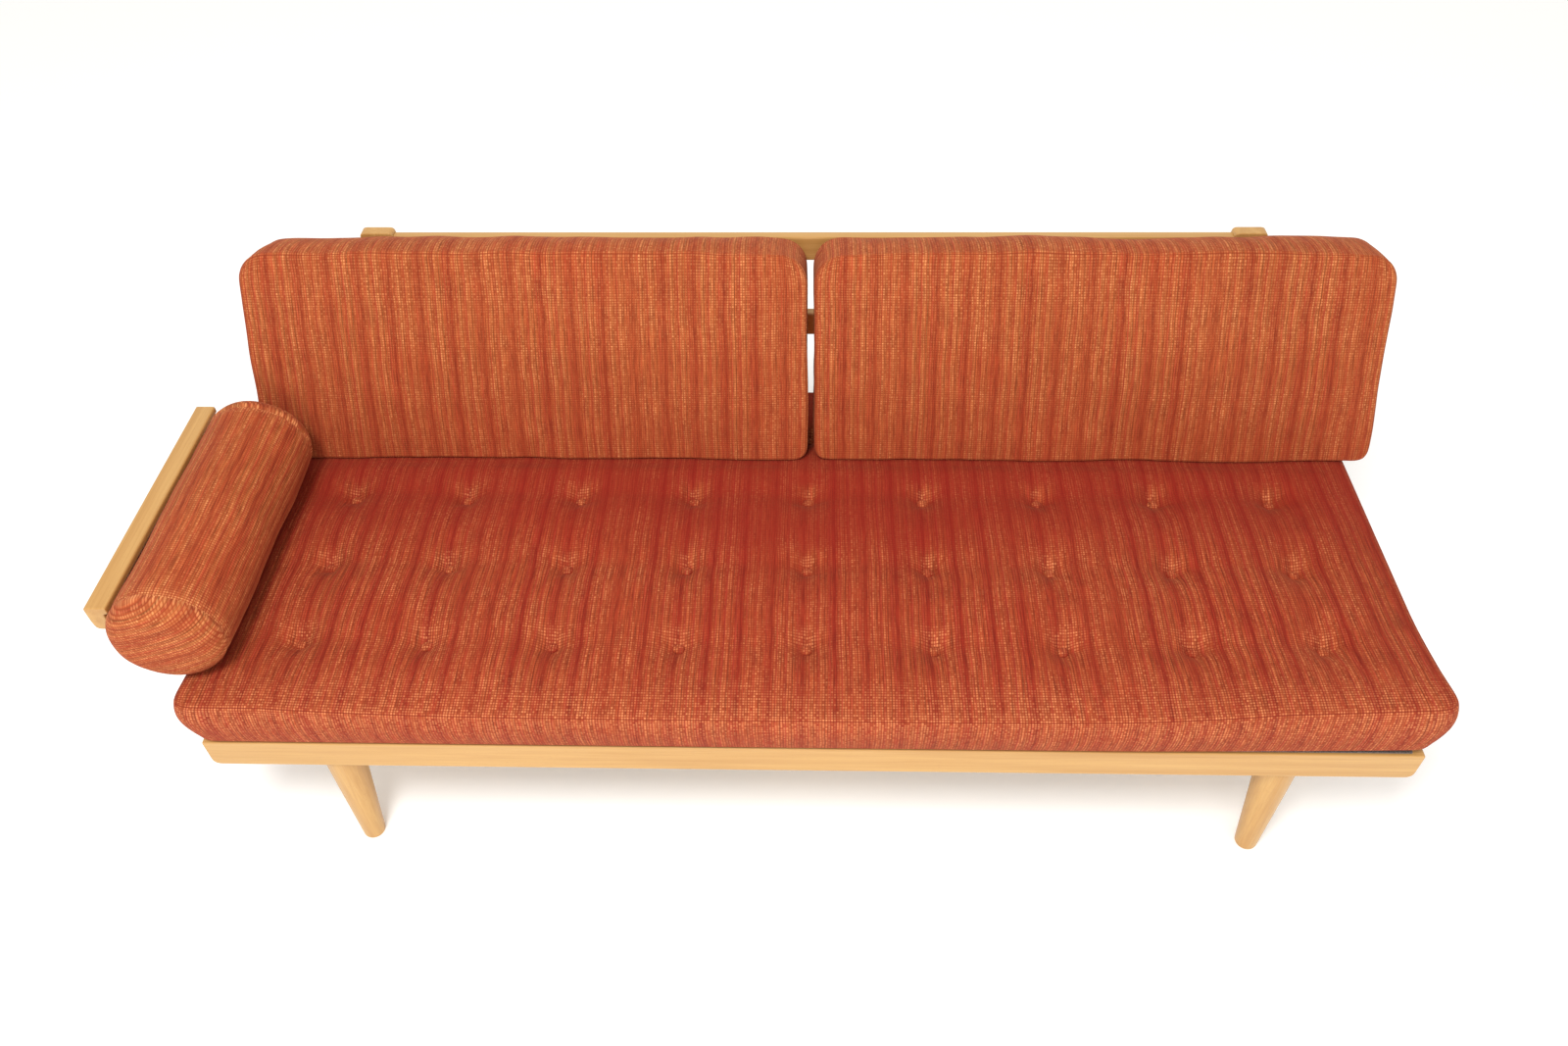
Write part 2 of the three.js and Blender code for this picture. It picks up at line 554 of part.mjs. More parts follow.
/** Back cushion seen from the end: it stands on the mattress and leans on the back frame. */
function addBackCushions() {
  const foot = MATTRESS_TOP + GAP;
  const head = CUSHION_BACK_HEAD;
  const lean = (CUSHION_FRONT_HEAD.y - CUSHION_FRONT_FOOT_Y) / (CUSHION_FRONT_HEAD.z - foot);
  const backFootY = head.y - (head.z - foot) * lean;
  const outline = roundedOutline([
    [CUSHION_FRONT_FOOT_Y, foot, 14], [backFootY, foot, 14], [head.y, head.z, CUSHION_ROUNDING],
    [CUSHION_FRONT_HEAD.y, CUSHION_FRONT_HEAD.z, CUSHION_ROUNDING],
  ]);
  for (const [name, x] of Object.entries(CUSHION_CENTRES)) {
    const geometry = extrude(outline, CUSHION_LENGTH, CUSHION_ROUNDING / 2, 3, 2);
    const turn = new THREE.Matrix4().makeBasis(
      new THREE.Vector3(0, 1, 0), new THREE.Vector3(0, 0, 1), new THREE.Vector3(1, 0, 0));
    geometry.applyMatrix4(turn);
    addPiece(name, geometry, backWool, x - CUSHION_LENGTH / 2, 0, 0);
  }
}

function addBolster() {
  const length = BOLSTER_END_Y - BOLSTER_START_Y;
  const edge = BOLSTER_RADIUS - BOLSTER_END_ROUNDING;
  const corner = (y, from, to) => new THREE.EllipseCurve(edge, y, BOLSTER_END_ROUNDING, BOLSTER_END_ROUNDING,
    from, to).getPoints(4);
  const profile = [
    new THREE.Vector2(0, 0), ...corner(BOLSTER_END_ROUNDING, -Math.PI / 2, 0),
    ...corner(length - BOLSTER_END_ROUNDING, 0, Math.PI / 2), new THREE.Vector2(0, length),
  ];
  const z = MATTRESS_TOP + GAP + BOLSTER_RADIUS;
  addPiece('bolster', new THREE.LatheGeometry(profile, 32), seatWool, BOLSTER_X, BOLSTER_START_Y, z);
}

// ---------------------------------------------------------------- assembly
addLongRails();
addEndRails();
addBase();
addLegs();
addBackCups();
addBackFrame();
addArm();
addMattress();
addBackCushions();
addBolster();

const bounds = new THREE.Box3().setFromObject(daybed);
const middle = bounds.getCenter(new THREE.Vector3());
daybed.position.set(-middle.x, -middle.y, 0);

export default daybed;
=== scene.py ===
"""Daybed: the fabric, wood and metal surfaces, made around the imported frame.

A beech frame on turned legs carries a buttoned mattress, two leaning back cushions and a bolster.
Run as a script, it builds every piece in order. Lengths are in metres unless a name ends in _mm.
"""

import math
import random

import bmesh
import bpy
import numpy as np
from mathutils import Matrix, Vector, noise


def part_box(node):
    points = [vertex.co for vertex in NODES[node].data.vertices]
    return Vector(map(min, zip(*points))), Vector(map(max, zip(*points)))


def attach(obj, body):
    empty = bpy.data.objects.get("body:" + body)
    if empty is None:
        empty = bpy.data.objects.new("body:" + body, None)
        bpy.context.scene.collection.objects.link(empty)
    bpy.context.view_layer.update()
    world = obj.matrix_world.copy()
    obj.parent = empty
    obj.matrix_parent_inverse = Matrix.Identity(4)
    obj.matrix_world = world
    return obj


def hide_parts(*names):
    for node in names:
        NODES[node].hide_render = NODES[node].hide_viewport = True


bl_info = {
    "name": "Buttoned Daybed",
    "version": (1, 0, 0),
    "blender": (4, 5, 0),
    "location": "View3D > Sidebar > Daybed",
    "description": "Builds the cushions, fabric, wood and metal finishes of a mid-century daybed",
    "category": "Add Mesh",
}

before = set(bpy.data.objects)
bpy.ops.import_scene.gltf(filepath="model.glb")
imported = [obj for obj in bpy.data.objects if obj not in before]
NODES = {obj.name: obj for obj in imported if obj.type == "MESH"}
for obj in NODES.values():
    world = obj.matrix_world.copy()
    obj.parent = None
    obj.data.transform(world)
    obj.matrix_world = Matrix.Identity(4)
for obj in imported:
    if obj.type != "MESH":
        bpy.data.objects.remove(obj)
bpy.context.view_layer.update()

MM = 0.001
SEAT_LOW, SEAT_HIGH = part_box("mattress")
UNDERLAY_LOW, UNDERLAY_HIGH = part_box("felt_underlay")
BOLSTER_LOW, BOLSTER_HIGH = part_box("bolster")
RESTING_GAP = 0.0015  # between the mattress and what lies on it


# ---------------------------------------------------------------- settings


def length_setting(label, note, value, low=0.0, high=5.0):
    return bpy.props.FloatProperty(
        name=label, description=note, default=value, min=low, max=high, unit="LENGTH", precision=4
    )


def angle_setting(label, note, degrees):
    turn = math.radians(degrees)
    return bpy.props.FloatProperty(name=label, description=note, default=turn, subtype="ANGLE")


def amount_setting(label, note, value, low=0.0, **kind):
    return bpy.props.FloatProperty(name=label, description=note, default=value, min=low, **kind)


def colour_setting(label, note, hex_value):
    return bpy.props.FloatVectorProperty(
        name=label, description=note, default=linear(hex_value)[:3], size=3, subtype="COLOR", min=0.0, max=1.0
    )


def linear(hex_value):
    """An sRGB hex value such as "C4623A" as linear red, green, blue and alpha."""
    parts = [int(hex_value[i:i + 2], 16) / 255 for i in (0, 2, 4)]
    return (*[c / 12.92 if c <= 0.04045 else ((c + 0.055) / 1.055) ** 2.4 for c in parts], 1.0)


class DaybedStageSettings(bpy.types.PropertyGroup):
    camera_place: bpy.props.FloatVectorProperty(
        name="Camera place", description="Where the camera stands", default=(0.0714, -1.4256, 1.8921),
        size=3, subtype="XYZ", unit="LENGTH",
    )
    camera_down: angle_setting("Camera tilt", "How far the camera looks down", 45.88)
    camera_turn: angle_setting("Camera turn", "Turn to the left about the vertical", 2.17)
    camera_roll: angle_setting("Camera roll", "Roll of the camera about its own axis", -1.20)
    camera_lens: amount_setting(
        "Lens", "Focal length on a sensor 36 mm wide", 27.45, 10, max=200, unit="CAMERA"
    )
    floor_size: length_setting("Floor", "Side of the square floor", 30.0, 1, 100)
    room_light: amount_setting("Room light", "Strength of the even light from all sides", 0.85)
    key_power: amount_setting("Key light", "Power of the soft light over the front", 80.0, unit="POWER")
    front_power: amount_setting("Front light", "Power of the low, wide light in front", 22.0, unit="POWER")
    floor_glow: amount_setting("Floor glow", "Light that the white floor gives by itself", 0.12)


class DaybedFabricSettings(bpy.types.PropertyGroup):
    cell: length_setting("Thread cell", "Width of one crossing of the basket weave", 4.2 * MM, 0.0005, 0.02)
    repeat: length_setting("Stripe repeat", "Width after which the stripes start again", 50 * MM, 0.01, 0.5)
    relief: length_setting("Weave relief", "Depth of the weave's bumps", 0.7 * MM, 0, 0.01)
    seam_depth: length_setting("Seam depth", "How far a sewn seam sinks in", 2.2 * MM, 0, 0.02)


class DaybedSeatSettings(bpy.types.PropertyGroup):
    columns: bpy.props.IntProperty(name="Columns", description="Buttons along the seat", default=9, min=1)
    rows: bpy.props.IntProperty(name="Rows", description="Buttons from front to back", default=4, min=1)
    pitch: length_setting("Button pitch", "Distance between buttons along the seat", 0.2013)
    row_pitch: length_setting("Row pitch", "Distance between the rows of buttons", 0.1627)
    first_row: length_setting("First row", "Distance of the front row from the mattress's front", 0.138)
    button: length_setting("Button", "Diameter of a covered button", 0.021)
    dip: length_setting("Button depth", "How far the buttons pull the top down", 0.016)
    crown: length_setting("Swell", "How far the filling may swell the cover", 0.014)
    corner: length_setting("Corner", "Radius of the mattress's corners, seen from above", 0.026)
    end_bulge: length_setting("End bulge", "How far the short sides swell out", 0.015)
    front_bulge: length_setting("Front bulge", "How far the front border swells out", 0.006)


class DaybedBackSettings(bpy.types.PropertyGroup):
    lean: angle_setting("Lean", "Angle of the cushions from the vertical", 14.6)
    swell: length_setting("Swell", "How far the filling may swell the cover", 0.016)
    top_corner: length_setting("Upper corners", "Radius of the cushions' upper corners", 0.042)
    foot_corner: length_setting("Lower corners", "Radius of the cushions' lower corners", 0.024)
    spread: length_setting("Spread", "How much further out a cushion's outer end is at its foot", 0.036)
    head: length_setting("Head swell", "How far the upper border stands up in its middle", 0.011)


class DaybedBolsterSettings(bpy.types.PropertyGroup):
    end_round: length_setting("End rounding", "Rounding of the bolster's stuffed ends", 0.036)
    swell: length_setting("Swell", "How far the filling may swell the cover", 0.008)


class DaybedWoodSettings(bpy.types.PropertyGroup):
    light: colour_setting("Light wood", "Light bands of the lacquered beech", "C89C5B")
    dark: colour_setting("Dark wood", "Darker bands of the lacquered beech", "BA8B4B")
    fleck: colour_setting("Flecks", "Short dark flecks of the beech", "A9733F")


# ---------------------------------------------------------------- materials


MATH, MIX, NOISE = "ShaderNodeMath", "ShaderNodeMix", "ShaderNodeTexNoise"
RAMP, RANGE, VECTOR = "ShaderNodeValToRGB", "ShaderNodeMapRange", "ShaderNodeVectorMath"


def add(tree, kind, inputs=None, stops=None, **settings):
    """Adds one node. inputs gives each socket a value, a node to link its first output, or (node, output);
    stops fills a ramp with places and colours."""
    made = tree.nodes.new(kind)
    for name, value in settings.items():
        setattr(made, name, value)
    if stops:
        ramp = made.color_ramp
        while len(ramp.elements) < len(stops):
            ramp.elements.new(1.0)
        for element, (place, colour) in zip(ramp.elements, stops):
            element.position = place
            element.color = linear(colour) if isinstance(colour, str) else (*colour, 1.0)
    for socket, value in (inputs or {}).items():
        if isinstance(value, bpy.types.Node):
            value = (value, 0)
        if isinstance(value, tuple) and isinstance(value[0], bpy.types.Node):
            tree.links.new(value[0].outputs[value[1]], made.inputs[socket])
        else:
            made.inputs[socket].default_value = value
    return made


def surface(name, **sockets):
    """A new material with a Principled surface; sockets set values that are the same all over."""
    material = bpy.data.materials.new(name)
    material.use_nodes = True
    tree = material.node_tree
    tree.nodes.clear()
    shader = add(tree, "ShaderNodeBsdfPrincipled")
    for socket, value in sockets.items():
        shader.inputs[socket.replace("_", " ")].default_value = value
    add(tree, "ShaderNodeOutputMaterial", {"Surface": shader})
    return material, tree, shader


def beech(name, along, tint=None, lacquered=True):
    """Beech, planed and sanded. The lacquer gives it a soft gloss and a honey colour; bare boards are
    duller and paler. The eye sees fine straight streaks and short dark flecks along the boards."""
    wood = bpy.context.scene.daybed_wood
    gloss = {"Roughness": 0.42, "IOR": 1.5} if lacquered else {"Roughness": 0.72, "IOR": 1.45}
    material, tree, shader = surface(name, **gloss)
    if lacquered:
        shader.inputs["Coat Weight"].default_value = 0.12
        shader.inputs["Coat Roughness"].default_value = 0.3
    place = add(tree, "ShaderNodeTexCoord")
    own = add(tree, "ShaderNodeObjectInfo")
    # Each board is cut from another place in the log.
    shift = add(tree, VECTOR, {0: (own, "Random"), 1: (7.3, 5.1, 9.7)}, operation="MULTIPLY")
    moved = add(tree, VECTOR, {0: (place, "Object"), 1: shift}, operation="ADD")
    long_axis = "xyz".index(along)

    def streaks(across_mm, length_mm, detail):
        scale = [1 / (across_mm * MM)] * 3
        scale[long_axis] = 1 / (length_mm * MM)
        stretched = add(tree, VECTOR, {0: moved, 1: scale}, operation="MULTIPLY")
        return add(tree, NOISE, {"Vector": stretched, "Scale": 1.0, "Detail": detail})

    bands = streaks(16, 500, 3.0)
    fine = streaks(2.2, 130, 2.0)
    flecks = streaks(0.9, 9, 1.0)
    light, dark = tint or (tuple(wood.light), tuple(wood.dark))
    base = add(tree, RAMP, {"Fac": bands}, stops=[(0.34, light), (0.7, dark)])
    lines = add(tree, RAMP, {"Fac": fine}, stops=[(0.35, "FFFFFF"), (0.75, "E6D6BE")])
    streaked = add(tree, MIX, {0: 0.5, 6: base, 7: lines}, data_type="RGBA", blend_type="MULTIPLY")
    marks = add(tree, RANGE, {"Value": flecks, "From Min": 0.66, "From Max": 0.74, "To Max": 0.4})
    coloured = add(tree, MIX, {0: marks, 6: (streaked, 2), 7: (*wood.fleck, 1.0)}, data_type="RGBA")
    worn = streaks(30, 90, 3.0)
    rough = add(
        tree, RANGE, {"Value": worn, "To Min": gloss["Roughness"] - 0.06, "To Max": gloss["Roughness"] + 0.1}
    )
    bump = add(tree, "ShaderNodeBump", {"Height": fine, "Strength": 0.25, "Distance": 0.15 * MM})
    tree.links.new(coloured.outputs[2], shader.inputs["Base Color"])
    tree.links.new(rough.outputs[0], shader.inputs["Roughness"])
    tree.links.new(bump.outputs[0], shader.inputs["Normal"])
    return material


def clouded(surfaced, scale, detail, stops):
    """Gives a finished surface a colour that varies in spots of about 1 / scale metres."""
    _, tree, shader = surfaced
    place = add(tree, "ShaderNodeTexCoord")
    spots = add(tree, NOISE, {"Vector": (place, "Object"), "Scale": scale, "Detail": detail})
    tone = add(tree, RAMP, {"Fac": spots}, stops=stops)
    tree.links.new(tone.outputs[0], shader.inputs["Base Color"])
    return spots


def zinc_plated_steel():
    """Pressed steel sheet, zinc plated: cool light grey, slightly cloudy, with soft reflections."""
    material, tree, shader = surfaced = surface("steel_zinc_plated_pressed", Metallic=1.0, Roughness=0.38)
    # Crystals of the plating, about 4 mm wide.
    crystals = clouded(surfaced, 250.0, 3.0, [(0.3, "A9ADB0"), (0.7, "C9CBCC")])
    rough = add(tree, RANGE, {"Value": crystals, "To Min": 0.3, "To Max": 0.5})
    tree.links.new(rough.outputs[0], shader.inputs["Roughness"])
    return material


def brass():
    """Turned brass screws, dulled by age: warm yellow metal with a brown film in patches."""
    surfaced = surface("brass_turned_aged", Metallic=1.0, Roughness=0.35)
    clouded(surfaced, 400.0, 2.0, [(0.35, "8E6B35"), (0.65, "C79E56")])
    return surfaced[0]


def needled_felt():
    """Needled wool felt in a dark grey-brown: matt, with short lighter fibres lying every way."""
    material, tree, shader = surfaced = surface("felt_needled_wool", Roughness=0.95, Sheen_Weight=0.35)
    # Fibre tufts, about 2 mm across.
    tufts = clouded(surfaced, 500.0, 4.0, [(0.35, "3A3230"), (0.7, "6B605A")])
    bump = add(tree, "ShaderNodeBump", {"Height": tufts, "Strength": 0.7, "Distance": 1.0 * MM})
    tree.links.new(bump.outputs[0], shader.inputs["Normal"])
    return material


# Warp stripes of the cloth, one repeat: width in mm and yarn.
STRIPES_MM = (
    (5.0, "brick"), (2.6, "rust"), (4.0, "orange"), (1.8, "pink"), (5.0, "gold"), (1.5, "olive"),
    (4.0, "orange"), (2.6, "rust"), (2.0, "pink"), (5.5, "gold"), (2.2, "orange"), (1.6, "olive"),
    (4.2, "orange"), (2.0, "rust"), (1.6, "pink"), (4.4, "rust"),
)
# Colours of each cloth's yarns; the last three are the colour of its painted highlight, the dark of its
# painted shade in hollows and seams, and its unfaded red, which also serves as painted shade.
YARNS = {
    "back": {"brick": "9F3E20", "rust": "AB4C28", "pink": "B44A2E", "gold": "B86436", "olive": "965429",
             "orange": "B2562D", "bright": "EDA066", "dark": "7E2F15", "deep": "94301A"},
    "seat": {"brick": "942917", "rust": "A0381F", "pink": "AA3E2A", "gold": "AC4D29", "olive": "8C3D20",
             "orange": "A64323", "bright": "E89360", "dark": "6E1C0E", "deep": "861A10"},
}
# How much painted highlight each stripe gets on the raised crossings of its threads.
FLECKS = {"brick": "303030", "rust": "6A6A6A", "pink": "4A4A4A", "gold": "B4B4B4", "olive": "404040",
          "orange": "909090"}


def stripe_stops(yarns, blend_mm=0.6):
    """Ramp stops for one repeat of the warp. One yarn gives way to the next over blend_mm."""
    total = sum(width for width, _ in STRIPES_MM)
    stops, start = [], 0.0
    for width, yarn in STRIPES_MM:
        stops.append(((start + blend_mm / 2) / total, yarns[yarn]))
        stops.append(((start + width - blend_mm / 2) / total, yarns[yarn]))
        start += width
    return stops


def striped_wool(name, dye):
    """Wool cloth in a basket weave, striped in the warp. The eye sees narrow red, orange, gold and olive
    lines, beaded by the crossings of the threads, with light flecks of painted highlight where the wool
    stands up at the crossings, and painted shade in the hollows between them."""
    cloth = bpy.context.scene.daybed_fabric
    yarns = YARNS[dye]
    material, tree, shader = surface(name, Roughness=0.92, Sheen_Weight=0.12, Sheen_Roughness=0.5)
    shader.inputs["Sheen Tint"].default_value = linear("F2A070")
    shader.inputs["Specular IOR Level"].default_value = 0.2
    lay = add(tree, "ShaderNodeUVMap", uv_map="cloth")
    parts = add(tree, "ShaderNodeSeparateXYZ", {"Vector": lay})
    # The threads wander by a few millimetres over a hand's width.
    wander = add(tree, NOISE, {"Vector": lay, "Scale": 9.0, "Detail": 2.0})
    across = add(tree, MATH, {0: wander, 1: 7 * MM, 2: (parts, "X")}, operation="MULTIPLY_ADD")

    # The real crossings are 1.7 mm apart; these are drawn wider so that they show.
    column = add(tree, MATH, {0: across, 1: math.pi / cloth.cell}, operation="MULTIPLY")
    row = add(tree, MATH, {0: (parts, "Y"), 1: math.pi / cloth.cell}, operation="MULTIPLY")
    wave_u = add(tree, MATH, {0: column}, operation="SINE")
    wave_v = add(tree, MATH, {0: row}, operation="SINE")
    both = add(tree, MATH, {0: wave_u, 1: wave_v}, operation="MULTIPLY")
    crossing = add(tree, MATH, {0: both}, operation="ABSOLUTE")
    lifted = add(tree, RANGE, {"Value": crossing, "From Min": 0.2, "From Max": 0.75})
    # No two crossings are lit alike, so a thread reads as a row of beads and not as a line.
    place = add(tree, "ShaderNodeCombineXYZ", {"X": across, "Y": (parts, "Y")})
    place = add(tree, VECTOR, {0: place, 1: (1 / cloth.cell, 1 / cloth.cell, 0.0)}, operation="MULTIPLY")
    place = add(tree, VECTOR, {0: place}, operation="FLOOR")
    chance = add(tree, "ShaderNodeTexWhiteNoise", {"Vector": place})
    bead = add(tree, RANGE, {"Value": chance, "To Min": 0.05, "To Max": 1.5})
    lifted = add(tree, MATH, {0: lifted, 1: bead}, operation="MULTIPLY")

    turns = add(tree, MATH, {0: across, 1: 1 / cloth.repeat}, operation="MULTIPLY")
    repeat = add(tree, MATH, {0: turns}, operation="FRACT")
    warp = add(tree, RAMP, {"Fac": repeat}, stops=stripe_stops(yarns))
    share = add(tree, RAMP, {"Fac": repeat}, stops=stripe_stops(FLECKS))

    # No two repeats were dyed quite alike: some stripes stand out and others fade into the ground.
    dyed = add(tree, VECTOR, {0: lay, 1: (13.0, 0.9, 0.0)}, operation="MULTIPLY")
    fade = add(tree, NOISE, {"Vector": dyed, "Scale": 1.0, "Detail": 2.0})
    faded = add(tree, RANGE, {"Value": fade, "From Min": 0.42, "From Max": 0.64, "To Max": 0.5})
    woven = add(tree, MIX, {0: faded, 6: warp, 7: linear(yarns["orange"])}, data_type="RGBA")

    # Thick and thin places in the spun yarn, one thread wide and a few centimetres long.
    spun = add(tree, VECTOR, {0: lay, 1: (560.0, 24.0, 0.0)}, operation="MULTIPLY")
    slub = add(tree, NOISE, {"Vector": spun, "Scale": 1.0, "Detail": 2.0})
    slub_tone = add(tree, RAMP, {"Fac": slub}, stops=[(0.34, "C6BAB4"), (0.64, "FFFFFF")])
    woven = add(tree, MIX, {0: 1.0, 6: (woven, 2), 7: slub_tone}, data_type="RGBA", blend_type="MULTIPLY")

    # The painted highlight on the crossings is stronger in some places than in others.
    brushed = add(tree, NOISE, {"Vector": lay, "Scale": 14.0, "Detail": 2.0})
    brushed = add(tree, RANGE, {"Value": brushed, "From Min": 0.35, "From Max": 0.65, "To Min": 0.3})
    light = add(tree, MATH, {0: lifted, 1: share}, operation="MULTIPLY")
    light = add(tree, MATH, {0: light, 1: brushed}, operation="MULTIPLY")
    woven = add(tree, MIX, {0: light, 6: (woven, 2), 7: linear(yarns["bright"])}, data_type="RGBA")

    # Painted shade in the hollows between the threads.
    depth = add(tree, RANGE, {"Value": crossing, "From Max": 0.45, "To Min": 0.26, "To Max": 0.0})
    woven = add(tree, MIX, {0: depth, 6: (woven, 2), 7: linear(yarns["dark"])}, data_type="RGBA")

    # Years of use: hand-sized patches that are browner or redder.
    patches = add(tree, NOISE, {"Vector": lay, "Scale": 4.0, "Detail": 2.0})
    tone = add(tree, RAMP, {"Fac": patches}, stops=[(0.32, "DCC2A4"), (0.5, "F6F0EA"), (0.7, "F2AE9C")])
    woven = add(tree, MIX, {0: 0.3, 6: (woven, 2), 7: tone}, data_type="RGBA", blend_type="MULTIPLY")

    # Marks that the pieces carry: above nought, painted highlight on the crossings; below it, a deeper red
    # that is a worn patch in places and painted shade elsewhere.
    wear = add(tree, "ShaderNodeAttribute", attribute_name="wear", attribute_type="GEOMETRY")
    nap = add(tree, MATH, {0: lifted, 1: 0.8, 2: 0.06}, operation="MULTIPLY_ADD")
    rubbed = add(tree, RANGE, {"Value": (wear, "Fac")})
    rubbed = add(tree, MATH, {0: rubbed, 1: nap}, operation="MULTIPLY")
    woven = add(tree, MIX, {0: rubbed, 6: (woven, 2), 7: linear(yarns["bright"])}, data_type="RGBA")
    deeper = add(tree, RANGE, {"Value": (wear, "Fac"), "From Max": -1.0, "To Max": 0.6})
    woven = add(tree, MIX, {0: deeper, 6: (woven, 2), 7: linear(yarns["deep"])}, data_type="RGBA")

    # Painted shade in the crease of the stitched seam: a thin dark line, broken by the threads.
    seam = add(tree, "ShaderNodeAttribute", attribute_name="seam", attribute_type="GEOMETRY")
    sewn = add(tree, RANGE, {"Value": (seam, "Fac"), "From Min": 0.5, "To Max": 0.8})
    broken = add(tree, RANGE, {"Value": crossing, "From Max": 0.6, "To Min": 1.0, "To Max": 0.55})
    sewn = add(tree, MATH, {0: sewn, 1: broken}, operation="MULTIPLY")
    woven = add(tree, MIX, {0: sewn, 6: (woven, 2), 7: linear(yarns["dark"])}, data_type="RGBA")

    domes = add(tree, MATH, {0: crossing, 1: 0.7}, operation="POWER")
    fuzz = add(tree, NOISE, {"Vector": lay, "Scale": 900.0, "Detail": 2.0})
    lumpy = add(tree, MATH, {0: slub, 1: 0.5, 2: domes}, operation="MULTIPLY_ADD")
    height = add(tree, MATH, {0: fuzz, 1: 0.35, 2: lumpy}, operation="MULTIPLY_ADD")
    bump = add(tree, "ShaderNodeBump", {"Height": height, "Strength": 0.7, "Distance": cloth.relief})
    tree.links.new(woven.outputs[2], shader.inputs["Base Color"])
    tree.links.new(bump.outputs[0], shader.inputs["Normal"])
    return material


def finish_with(objects, material):
    """Gives CAD nodes or pieces this one material."""
    for obj in objects:
        obj.data.materials.clear()
        obj.data.materials.append(material)


def soft_edges(objects, angle=35):
    """Smooth shading across gentle corners only, so that turned and rounded surfaces look round."""
    for obj in objects:
        for face in obj.data.polygons:
            face.use_smooth = True
        obj.data.set_sharp_from_angle(angle=math.radians(angle))


# ---------------------------------------------------------------- meshes


def finished(made, name):
    """Puts the mesh that was built into the scene, as an object of this name."""
    mesh = bpy.data.meshes.new(name)
    made.to_mesh(mesh)
    made.free()
    obj = bpy.data.objects.new(name, mesh)
    bpy.context.scene.collection.objects.link(obj)
    return obj


def join_rings(made, rings):
    """Closes a turned shape with faces between its rings of points. A ring may be a single point."""
    faces = []
    for near, far in zip(rings, rings[1:]):
        for i in range(max(len(near), len(far))):
            around = ((near, i), (far, i), (far, i + 1), (near, i + 1))
            corners = dict.fromkeys(ring[k % len(ring)] for ring, k in around)
            faces.append(made.faces.new(list(corners)))
    return faces


def read(source, key, width=3):
    """One row of numbers for each point or other element."""
    values = np.zeros(len(source) * width, np.float32)
    source.foreach_get(key, values)
    return values.reshape(-1, width).astype(float)


def places_of(mesh):
    return read(mesh.vertices, "co")


def normals_of(mesh):
    return read(mesh.vertex_normals, "vector")


def on_seam(mesh):
    return read(mesh.attributes["seam"].data, "value", 1)[:, 0] > 0.5


def place_all(mesh, places):
    mesh.vertices.foreach_set("co", np.asarray(places, np.float32).ravel())
    mesh.update()


def mark(obj, name, values):
    """Stores a seam mask, or the mix of worn spots, painted highlight and painted shade, at each point, for
    the cloth's material to draw.
    """
    layer = obj.data.attributes.get(name) or obj.data.attributes.new(name, "FLOAT", "POINT")
    layer.data.foreach_set("value", np.asarray(values, np.float32))


# ---------------------------------------------------------------- sewn covers

SEAM_ROWS = (0.0, 0.003, 0.008, 0.016)  # rows of the cover beside a seam
BACK_SHIFT = (0.31, 0.17)  # the panels of a cover are cut from other parts of the cloth
END_SHIFTS = (0.47, 0.61)
SWELL_FRAMES = 20
CLOTH_STIFFNESS = 15.0
CLOTH_BENDING = 0.6
CLOTH_MASS = 0.3
BESIDE_SEAM = 0.3  # how much of a seam's depth the cloth stands up beside it


def rows_between(stops, step):
    """Places from the first stop to the last: even steps of about this size, passing through every stop."""
    places = []
    for start, end in zip(stops, stops[1:]):
        count = max(1, round((end - start) / step))
        places += [start + (end - start) * i / count for i in range(count)]
    return [*places, stops[-1]]


def seamed_rows(length, step, through=()):
    """Places across a panel, with close rows beside the seams at its two edges."""
    near = list(SEAM_ROWS)
    far = [length - place for place in reversed(near)]
    inner = rows_between([near[-1], *through, far[0]], step)
    return [*near[:-1], *inner, *far[1:]]


def boxed_cover(name, lows, rows, end_stripes="across"):
    """A sewn box cover: two panels joined by a border. rows gives the places along a (across the stripes),
    b (along them) and c (the thickness), measured from lows. Its cloth map holds metres of cloth."""
    counts = [len(r) - 1 for r in rows]
    made = bmesh.new()
    cloth = made.loops.layers.uv.new("cloth")
    corners = {}

    def corner(place):
        if place not in corners:
            corners[place] = made.verts.new([low + rows[k][place[k]] for k, low in enumerate(lows)])
        return corners[place]

    def unrolled(axis, far, place):
        a, b, c = (rows[k][place[k]] for k in range(3))
        if axis == 2:
            return (a, b) if far else (a + BACK_SHIFT[0], b + BACK_SHIFT[1])
        if axis == 1:
            return (a, rows[1][-1] + rows[2][-1] - c) if far else (a, c - rows[2][-1])
        shift = END_SHIFTS[far]
        return (b + shift, c) if end_stripes == "across" else (c + shift, b)

    for axis in range(3):
        first, second = [k for k in range(3) if k != axis]
        for far in (0, 1):
            for i in range(counts[first]):
                for j in range(counts[second]):
                    ring = []
                    for di, dj in ((0, 0), (1, 0), (1, 1), (0, 1)):
                        place = [0, 0, 0]
                        place[axis] = counts[axis] * far
                        place[first], place[second] = i + di, j + dj
                        ring.append(tuple(place))
                    if (axis == 1) == bool(far):
                        ring.reverse()
                    face = made.faces.new([corner(p) for p in ring])
                    for loop, place in zip(face.loops, ring):
                        loop[cloth].uv = unrolled(axis, far, place)
    made.normal_update()
    obj = finished(made, name)
    # A seam runs where two of the three places are at an end, round both panels.
    ended = [[place[k] in (0, counts[k]) for k in range(3)] for place in corners]
    mark(obj, "seam", [(a or b) and c for a, b, c in ended])
    return obj


